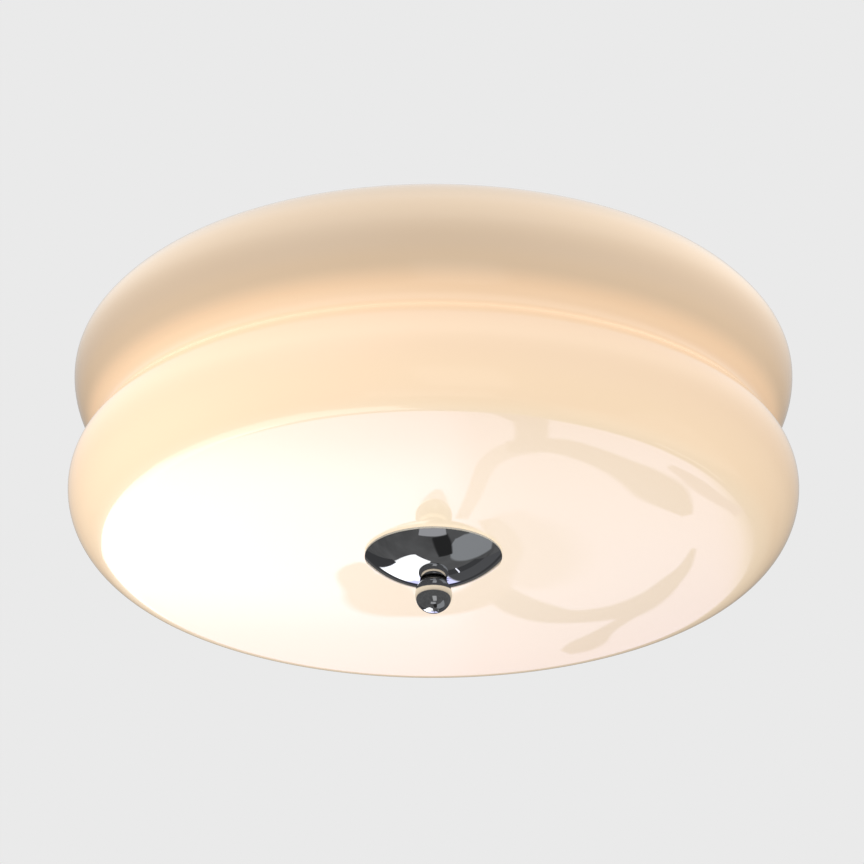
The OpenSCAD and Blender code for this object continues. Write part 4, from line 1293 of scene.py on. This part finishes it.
@dataclass
class Studio:
    """The room round the light: pale ground, soft light, what the chrome and glass reflect, the camera."""

    look_at: Point = (0.0, 0.0, -0.0941)
    lamp_aim: Point = (0.0, 0.0, -0.08)
    elevation: float = -24.98
    distance: float = 4.6
    lens: float = 349.67
    sensor: float = 36.0
    shift_x: float = -0.0017
    shift_y: float = 0.0369
    ground: Rgb = srgb(234, 234, 234)
    fill_share: float = 0.62
    floor_z: float = -9.0
    floor_half: float = 14.0
    floor_lift: float = 0.47
    wall_y: float = 2.0
    wall_half: float = 1.6
    wall_top: float = -0.3
    wall_step: float = 0.004
    card_z: float = -2.2
    card_step: float = 0.001
    bowl_r: float = 4.9
    bowl_top: float = 4.6
    bowl_sides: int = 96

    def build(self) -> None:
        """Sets up the whole studio."""
        bpy.context.scene.view_settings.view_transform = "Standard"
        self.world()
        self.floor()
        for lamp in STUDIO_LAMPS:
            lamp.hang(self.lamp_aim)
        self.reflections()
        self.camera()

    def world(self) -> None:
        """Dim fill for the object, and the photo's pale grey for the camera and for mirrors."""
        made = bpy.data.worlds.new("Studio")
        bpy.context.scene.world = made
        tree = emptied(made)
        path = tree.add("ShaderNodeLightPath", {}, {})
        names = ("Is Camera Ray", "Is Glossy Ray", "Is Transmission Ray")
        camera, glossy, clear = [Wire(tree, path.outputs[name]) for name in names]
        seen = camera.maths("MAXIMUM", glossy).maths("MAXIMUM", clear)
        fill, plain = [
            tree.wire("ShaderNodeBackground", {}, {"Color": tree.opaque(self.ground), "Strength": strength})
            for strength in (self.fill_share, 1.0)
        ]
        tree.add("ShaderNodeOutputWorld", {}, {"Surface": tree.either(seen, fill, plain)})

    def ground_paint(self, tree: Tree) -> Wire:
        """The floor's shader: plain, and lifted to the photo's grey for the camera alone."""
        plain = tree.wire("ShaderNodeBsdfDiffuse", {}, {"Color": tree.opaque(self.ground)})
        seen = tree.wire("ShaderNodeLightPath", output="Is Camera Ray")
        lift = tree.glow(self.ground, seen * self.floor_lift)
        return tree.wire("ShaderNodeAddShader", {}, {0: plain, 1: lift})

    def floor(self) -> None:
        """A plain pale floor, low enough for every view, which keeps the light's shadow."""
        half, z = self.floor_half, self.floor_z
        corners = [(-half, -half, z), (half, -half, z), (half, half, z), (-half, half, z)]
        mesh = self.sheet("studio_floor", corners, [(0, 1, 2, 3)], painted("Studio floor", self.ground_paint))
        shown("studio_floor", mesh)

    @staticmethod
    def sheet(
        name: str, points: list[Point], faces: list[tuple[int, ...]], material: bpy.types.Material
    ) -> bpy.types.Mesh:
        """A mesh of these faces in one material."""
        mesh = bpy.data.meshes.new(name)
        mesh.from_pydata(points, [], faces)
        mesh.materials.append(material)
        return mesh

    @staticmethod
    def mirrored(name: str, mesh: bpy.types.Mesh) -> None:
        """Puts a stage piece in the scene that only mirrors see."""
        piece = shown(name, mesh)
        piece.visible_camera = False
        piece.visible_diffuse = False
        piece.visible_transmission = False
        piece.visible_shadow = False

    def reflections(self) -> None:
        """What the glass and the chrome mirror: a far wall with its streaks, in a dark bowl."""
        half, wall, low, top = self.wall_half, self.wall_y, self.card_z, self.wall_top
        corners = [(-half, wall, low), (half, wall, low), (half, wall, top), (-half, wall, top)]
        window = painted("Far window", FarWindow().paint)
        self.mirrored("far_wall", self.sheet("far_wall", corners, [(0, 1, 2, 3)], window))
        for i, streak in enumerate(STREAKS, start=1):
            band = streak.mesh(low + self.card_step * i if streak.lying else wall - self.wall_step * i)
            band.materials.append(painted(streak.name, streak.paint))
            self.mirrored(streak.name, band)
        self.mirrored("bowl", self.bowl())

    def bowl(self) -> bpy.types.Mesh:
        """The dark room: a round wall on a flat bottom, open above."""
        sides, levels = self.bowl_sides, (self.card_z, 0.0, self.bowl_top)
        points = [turned((self.bowl_r, 0.0, z), 360 * i / sides) for z in levels for i in range(sides)]
        faces = [tuple(range(sides))]
        for low in range(0, sides * (len(levels) - 1), sides):
            for i in range(sides):
                after = (i + 1) % sides
                faces.append((low + i, low + after, low + sides + after, low + sides + i))
        return self.sheet("bowl", points, faces, painted("Dark surround", DarkRoom().paint))

    def camera(self) -> None:
        """The camera at the photo's place, looking up at the light."""
        turn = math.radians(self.elevation)
        x, y, z = self.look_at
        lens = bpy.data.cameras.new("camera")
        lens.lens = self.lens
        lens.sensor_width = self.sensor
        lens.shift_x = self.shift_x
        lens.shift_y = self.shift_y
        made = shown("camera", lens)
        made.location = (x, y - self.distance * math.cos(turn), z + self.distance * math.sin(turn))
        made.rotation_euler = (math.pi / 2 - turn, 0.0, 0.0)
        bpy.context.scene.camera = made


@dataclass
class CapAndFinial:
    """The spun chrome cap, its friction washer and the ball finial."""

    shop: Workshop
    cap_r: float = CAP_R
    cap_h: float = 0.0145
    cap_t: float = 0.0012
    rim_z: float = CAP_RIM_Z
    hole_r: float = 0.0043
    washer_t: float = 0.0008
    washer_soft: float = 0.00015
    neck_r: float = 0.0075
    neck_h: float = 0.0005
    ball_r: float = 0.01025
    bore_r: float = ROD_BORE_R
    bore_end_z: float = -0.175864
    gap: float = PLAY
    rolled: Pair = (0.15, 0.85)
    segments: int = 192

    def build(self) -> None:
        """Makes the three pieces."""
        turn = self.shop.turn
        turn("chrome_cap", "finial_cap", "shade", self.cap(), Surface.CHROME, self.segments)
        washer = self.washer()
        turn("friction_washer", "finial_washer", "finial_slide", washer, Surface.RUBBER, segments=96)
        turn("ball_finial", "finial", "finial_ball", self.ball(), Surface.CHROME, self.segments)

    def cap(self) -> Profile:
        """Section of the dome, with a beaded rim and a rounded hole."""
        apex_z = self.rim_z - self.cap_h
        radius = (self.cap_r**2 + self.cap_h**2) / (2 * self.cap_h)
        centre = (0.0, apex_z + radius)
        inner = radius - self.cap_t
        rim = heading(centre, (self.cap_r, self.rim_z))
        hole = -math.degrees(math.acos(self.hole_r / radius))
        inner_hole = -math.degrees(math.acos(self.hole_r / inner))
        inner_rim = math.degrees(math.asin((self.rim_z - centre[1]) / inner))
        outside = arc(centre, radius, hole, rim, steps=48)
        inside = arc(centre, inner, inner_rim, inner_hole, steps=48)
        rim_edge = between(outside[-1], inside[0], self.rolled)
        hole_edge = between(inside[-1], outside[0], self.rolled)
        return closed(outside + rim_edge + inside + hole_edge)

    def washer(self) -> Profile:
        """Section of the washer, with softened corners."""
        top = self.rim_z - self.cap_h - self.gap
        return soft_ring(self.hole_r, self.neck_r, top - self.washer_t, top, self.washer_soft)

    def ball(self) -> Profile:
        """Section of the ball with its short neck and blind bore."""
        top = self.rim_z - self.cap_h - 2 * self.gap - self.washer_t
        middle = top - self.neck_h - math.sqrt(self.ball_r**2 - self.neck_r**2)
        join = heading((0.0, middle), (self.neck_r, top - self.neck_h))
        outside = arc((0.0, middle), self.ball_r, -90, join, steps=64)
        outside[0] = (0.0, outside[0][1])
        return outside + [
            (self.neck_r, top - SOFT), (self.neck_r - SOFT, top), (self.bore_r + SOFT, top),
            (self.bore_r, top - SOFT), (self.bore_r, self.bore_end_z), (0.0, self.bore_end_z),
        ]


@dataclass
class CeilingPan:
    """The enamelled pan with its soft ring, cable grommet and rivets."""

    shop: Workshop
    sheet: float = PAN_SHEET
    floor_top: float = PAN_FLOOR
    flange_r: float = 0.151
    seat_r: float = 0.144
    seal_t: float = 0.002
    grommet_r: float = 0.006
    grommet_bore: float = 0.004
    grommet_place: float = 0.102
    lip: float = 0.003
    lip_t: float = 0.0016
    holder_r: float = HOLDER_BACK
    rivet_places: tuple[float, ...] = (0.022, 0.036)
    rivet_r: float = 0.0019
    head_share: float = 1.9
    head_h: float = 0.0014
    tail_share: float = 1.6
    tail_h: float = 0.0011
    bracket_t: float = 0.0015

    def build(self) -> None:
        """Dresses the pan and makes its small pieces."""
        shop = self.shop
        shop.dress(Surface.ENAMEL, "base_plate")
        seal = soft_ring(self.seat_r, self.flange_r, -self.sheet - self.seal_t, -self.sheet)
        shop.turn("edge_seal", "edge_gasket", "fixture", seal, Surface.SILICONE, segments=240)
        hole = Matrix.Translation(turned((self.grommet_place, 0.0, 0.0), TERMINAL_TURN))
        grommet = self.grommet()
        shop.turn(
            "rubber_grommet", "cable_grommet", "fixture", grommet, Surface.RUBBER, segments=72, place=hole
        )
        rivet = shop.lathe.turn(self.rivet(), Surface.ZINC, segments=32)
        rivets = shop.patterner.spread(rivet, self.rivet_spots(), Surface.ZINC)
        shop.fit("rivets", rivets, "fixture", Surface.ZINC, "bracket_rivets")

    def grommet(self) -> Profile:
        """Section of the grommet: two round lips and a waist in the hole."""
        floor = self.floor_top - self.sheet
        edge, round_r = self.grommet_r + self.lip - self.lip_t / 2, self.lip_t / 2
        waist = self.grommet_r - PLAY
        upper = arc((edge, self.floor_top + round_r), round_r, -90, 90, steps=12)
        lower = arc((edge, floor - round_r), round_r, -90, 90, steps=12)
        bore = [(self.grommet_bore, self.floor_top + self.lip_t), (self.grommet_bore, floor - self.lip_t)]
        return closed(lower + [(waist, floor), (waist, self.floor_top)] + upper + bore)

    def rivet(self) -> Profile:
        """Section of a rivet along +Z from its tail: a set tail, the shank and a round head."""
        head_r, tail_r = self.head_share * self.rivet_r, self.tail_share * self.rivet_r
        low, high = -self.sheet, self.bracket_t
        dome = (head_r**2 + self.head_h**2) / (2 * self.head_h)
        centre = (0.0, high + self.head_h - dome)
        top = arc(centre, dome, heading(centre, (head_r, high)), 90, steps=14)
        top[-1] = (0.0, high + self.head_h)
        foot = low - self.tail_h
        return [
            (0.0, foot), (tail_r - SOFT, foot), (tail_r, foot + SOFT), (tail_r, low - SOFT),
            (tail_r - SOFT, low), (self.rivet_r, low), (self.rivet_r, high), *top,
        ]

    def rivet_spots(self) -> list[tuple[Point, Point]]:
        """Places of the six rivets, which point down."""
        floor = self.floor_top - self.sheet
        return [
            (turned((self.holder_r + x, 0.0, floor), turn), (0.0, 0.0, -1.0))
            for turn in LAMP_TURNS
            for x in self.rivet_places
        ]


@dataclass
class RodStack:
    """The threaded rod with its nuts and washers."""

    shop: Workshop
    rod_r: float = ROD_R
    rod_top: float = -0.002
    rod_end: float = -0.173864
    lead: float = 0.0008
    floor_top: float = PAN_FLOOR
    washer_t: float = 0.0012
    washer_soft: float = 0.00015
    bore_r: float = ROD_BORE_R
    pitch: float = 0.00125
    depth: float = 0.00065
    rings: int = 8

    def build(self) -> None:
        """Cuts the rod's thread and dresses the bought pieces."""
        shop, tip_r = self.shop, self.rod_r - self.lead
        low, high = self.rod_end + self.lead, self.rod_top - self.lead
        rod = [(0.0, self.rod_end), (tip_r, self.rod_end)]
        rod += [(self.rod_r, z) for z in evenly(low, high, self.pitch / self.rings)]
        rod += [(tip_r, self.rod_top), (0.0, self.rod_top)]
        thread = Thread(self.pitch, self.depth, low, high)
        shop.turn("threaded_rod", "centre_rod", "fixture", rod, Surface.ZINC, segments=32, thread=thread)
        top = self.floor_top + self.washer_t
        ring = soft_ring(self.bore_r, 2 * self.rod_r, self.floor_top, top, self.washer_soft)
        shop.turn("plain_washer", "rod_top_washer", "fixture", ring, Surface.ZINC, segments=64)
        shop.dress(Surface.ZINC, "rod_top_nut", "rod_lower_nut", "rod_lock_washer")


@dataclass
class Terminals:
    """The supply block, the earth point and the inner wiring."""

    shop: Workshop
    lead_r: float = 0.0011
    corner: float = 0.003
    corner_share: float = 0.45
    holder_r: float = HOLDER_BACK
    face_r: float = 0.0575
    live_run: float = -0.0168
    neutral_run: float = -0.0210
    entry: float = -0.0399
    pole: float = 0.012
    half: float = 0.0014
    live_in: float = 0.0045
    neutral_in: float = 0.0105
    side: float = 0.009
    step: float = 0.0028
    earth_end: float = 0.0399
    earth_run: float = -0.0113
    grip: float = 0.0008
    level_l: float = 0.003
    bend_l: float = 0.007
    drop_l: float = 0.004
    live_bend: float = 0.036
    neutral_bend: float = 0.044
    bend_turn: float = 30.0
    bend_steps: int = 6

    def build(self) -> None:
        """Dresses the block and lays the wires."""
        dress = self.shop.dress
        dress(Surface.WHITE, "terminal_block")
        dress(Surface.BRASS, "terminal_barrels", "earth_screw", "earth_washer")
        dress(Surface.ZINC, "terminal_screws", "terminal_fixing_screw", "holder_screws")
        live, neutral = (self.live_in, self.side), (self.neutral_in, -self.side)
        live_next = (self.live_in, self.side - self.step)
        neutral_next = (self.neutral_in, self.step - self.side)
        first, second, third = LAMP_TURNS
        live_routes = [
            self.feed(-self.pole + self.half, self.live_run, second, live),
            self.feed(-self.pole - self.half, self.live_run, first, live),
            self.link(live_next, live, self.live_run, self.live_bend, first, third),
        ]
        self.wire("live_wires", Surface.LIVE, "live_leads", live_routes)
        neutral_routes = [
            self.feed(self.pole + self.half, self.neutral_run, second, neutral),
            self.feed(self.pole - self.half, self.neutral_run, first, neutral_next),
            self.link(neutral, neutral, self.neutral_run, self.neutral_bend, first, third),
        ]
        self.wire("neutral_wires", Surface.NEUTRAL, "neutral_leads", neutral_routes)
        earth = [
            (self.face_r + self.grip, 0.0, self.live_run),
            (self.face_r - self.level_l, 0.0, self.live_run),
            (self.face_r - self.bend_l, 0.0, self.earth_run),
            (self.earth_end - self.lead_r, 0.0, self.earth_run),
        ]
        earth_route = [turned(p, TERMINAL_TURN) for p in earth]
        self.wire("earth_wire", Surface.EARTH, "earth_lead", [earth_route])

    def wire(self, name: str, finish: Surface, node: str, routes: list[list[Point]]) -> None:
        """Sweeps one colour of wire along its routes."""
        paths = [self.rounded(route) for route in routes]
        self.shop.fit(name, self.shop.cables.sweep(paths, self.lead_r, finish), "fixture", finish, node)

    def at_entry(self, entry: Pair, level: float, turn: float) -> Point:
        """A place over or in a holder's wire entry."""
        return turned((self.holder_r + entry[0], entry[1], level), turn)

    def feed(self, pole: float, run: float, turn: float, entry: Pair) -> list[Point]:
        """Route from a pole of the block to a holder."""
        start = [
            (self.face_r + self.grip, pole, self.live_run),
            (self.face_r - self.bend_l, pole, self.live_run),
            (self.face_r - self.bend_l - self.drop_l, pole, run),
        ]
        route = [turned(p, TERMINAL_TURN) for p in start]
        return route + [self.at_entry(entry, level, turn) for level in (run, self.entry)]

    def link(
        self, start: Pair, end: Pair, run: float, bend: float, here: float, there: float
    ) -> list[Point]:
        """Route from one holder on to another, round the rod."""
        return [
            self.at_entry(start, self.entry, here),
            self.at_entry(start, run, here),
            turned((bend, 0.0, run), self.bend_turn),
            self.at_entry(end, run, there),
            self.at_entry(end, self.entry, there),
        ]

    def rounded(self, route: list[Point]) -> list[Point]:
        """A route with each corner replaced by a smooth curve."""
        points = [Vector(p) for p in route]
        out = [points[0]]
        for before, here, after in zip(points, points[1:], points[2:]):
            back, on = before - here, after - here
            reach = min(self.corner, back.length * self.corner_share, on.length * self.corner_share)
            start, end = here + back.normalized() * reach, here + on.normalized() * reach
            for i in range(self.bend_steps + 1):
                t = i / self.bend_steps
                out.append((1 - t) ** 2 * start + 2 * t * (1 - t) * here + t * t * end)
        out.append(points[-1])
        return [tuple(p) for p in out]


@dataclass
class Lampholder:
    """A moulded screw lampholder on its bracket."""

    shop: Workshop
    number: int
    turn: float
    floor: float = 0.012
    bore_r: float = 0.0142
    shell_t: float = 0.0006
    shell_l: float = 0.024
    contact_t: float = 0.0005
    gap: float = PLAY
    foot_w: float = 0.003
    pitch: float = LAMP_PITCH
    depth: float = 0.0005
    rings: int = 10

    @property
    def foot(self) -> float:
        """Height of the shell's foot over the back of the holder."""
        return self.floor + self.contact_t + self.gap

    def shell(self) -> Profile:
        """Section of the screw shell with its turned in foot."""
        low, step = self.foot, self.pitch / self.rings
        outer = self.bore_r - 2 * self.gap
        inner, top = outer - self.shell_t, low + self.shell_l
        outside = [(outer, z) for z in evenly(low, top, step)]
        inside = [(inner, z) for z in evenly(top, low + self.shell_t, step)]
        edge = outer - self.foot_w
        return closed([(edge, low), *outside, *inside, (edge, low + self.shell_t)])

    def build(self) -> None:
        """Dresses the moulding and rolls the shell's thread."""
        shop, n = self.shop, self.number
        shop.dress(Surface.ENAMEL, f"lamp_bracket_{n}")
        shop.dress(Surface.IVORY, f"holder_body_{n}")
        shop.dress(Surface.BRASS, f"holder_contact_{n}")
        thread = Thread(self.pitch, self.depth, self.foot + 2 * self.shell_t, self.foot + self.shell_l)
        shop.turn(
            f"screw_shell_{n}",
            f"holder_shell_{n}",
            "fixture",
            self.shell(),
            Surface.NICKEL,
            segments=96,
            thread=thread,
            place=along_lamp(self.turn),
        )


@dataclass
class Lamp:
    """A screw-in globe lamp, its axis level and its glass frosted."""

    shop: Workshop
    number: int
    turn: float
    contact: float = 0.0197
    tip: float = 0.1237
    globe_r: float = 0.030
    neck_r: float = 0.0121
    neck_end: float = 0.0433
    glass_t: float = 0.001
    base_r: float = 0.0129
    base_t: float = 0.0004
    sleeve_start: float = 0.0247
    sleeve_end: float = 0.0467
    cone: float = 0.004
    foot_r: float = 0.0078
    neck_in: float = 0.006
    thread_in: float = 0.0065
    dot_r: float = 0.0048
    dot_h: float = 0.002
    cone_edge: float = 0.0004
    pitch: float = LAMP_PITCH
    depth: float = 0.0011
    rings: int = 10

    def globe(self) -> Profile:
        """Section of the glass: globe, hollow curve and neck, both faces."""
        return self.glass(0.0) + self.glass(self.glass_t)[::-1]

    def glass(self, inset: float) -> Profile:
        """One face of the glass, from the tip to the neck's end."""
        centre = (0.0, self.tip - self.globe_r)
        rise = centre[1] - self.neck_end
        hollow = (rise**2 + self.neck_r**2 - self.globe_r**2) / (2 * (self.globe_r - self.neck_r))
        middle = (self.neck_r + hollow, self.neck_end)
        join = heading(centre, middle)
        out = arc(centre, self.globe_r - inset, 90, join, steps=40)
        out[0] = (0.0, out[0][1])
        out += arc(middle, hollow + inset, join + 180, 180, steps=20)[1:]
        return [*out, (self.neck_r - inset, self.sleeve_end - self.neck_in)]

    def base(self) -> Profile:
        """Section of the metal sleeve, finely divided where the thread is rolled in."""
        start, end, step = self.sleeve_start, self.sleeve_end, self.pitch / self.rings
        outside = [(self.base_r, z) for z in evenly(start + self.cone, end, step)]
        inside = [(self.base_r - self.base_t, z) for z in evenly(end, start + self.cone + SOFT, step)]
        foot = (self.foot_r - SOFT, start + self.base_t)
        return closed([(self.foot_r, start), *outside, *inside, foot])

    def insulator(self) -> Profile:
        """Section of the glass cone between sleeve and contact."""
        low, high, edge = self.contact + self.dot_h, self.sleeve_start - PLAY, self.cone_edge
        foot = self.dot_r + edge
        return [(0.0, low), (foot, low), (foot + edge, low + edge), (self.foot_r - edge, high), (0.0, high)]

    def dot(self) -> Profile:
        """Section of the soldered contact dome."""
        ball = (self.dot_r**2 + self.dot_h**2) / (2 * self.dot_h)
        centre, high = (0.0, self.contact + ball), self.contact + self.dot_h
        out = arc(centre, ball, -90, heading(centre, (self.dot_r, high)), steps=16)
        out[0] = (0.0, out[0][1])
        return [*out, (0.0, high)]

    def build(self) -> None:
        """Makes the four pieces of the lamp."""
        n, place = self.number, along_lamp(self.turn)
        thread = Thread(
            self.pitch, self.depth, self.sleeve_start + self.cone, self.sleeve_end - self.thread_in
        )
        for piece, node, body, section, finish, segments, cut in (
            ("glass", "globe", "lamp", self.globe(), Surface.FROST, 96, UNTHREADED),
            ("sleeve", "base", "lamp", self.base(), Surface.NICKEL, 96, thread),
            ("insulator", "insulator", "lamp", self.insulator(), Surface.INSULATOR, 64, UNTHREADED),
            ("contact", "contact", "lamp_slide", self.dot(), Surface.SOLDER, 48, UNTHREADED),
        ):
            self.shop.turn(
                f"lamp_{piece}_{n}", f"bulb_{node}_{n}", f"{body}_{n}", section, finish, segments, cut, place
            )


def main() -> None:
    """Builds the light and its studio."""
    logging.basicConfig(level=logging.INFO, format="%(message)s")
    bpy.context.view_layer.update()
    shop = Workshop()
    Studio().build()
    GlassShade(shop).build()
    CapAndFinial(shop).build()
    CeilingPan(shop).build()
    RodStack(shop).build()
    Terminals(shop).build()
    for number, turn in enumerate(LAMP_TURNS, start=1):
        Lampholder(shop, number, turn).build()
        Lamp(shop, number, turn).build()


if __name__ == "__main__":
    main()
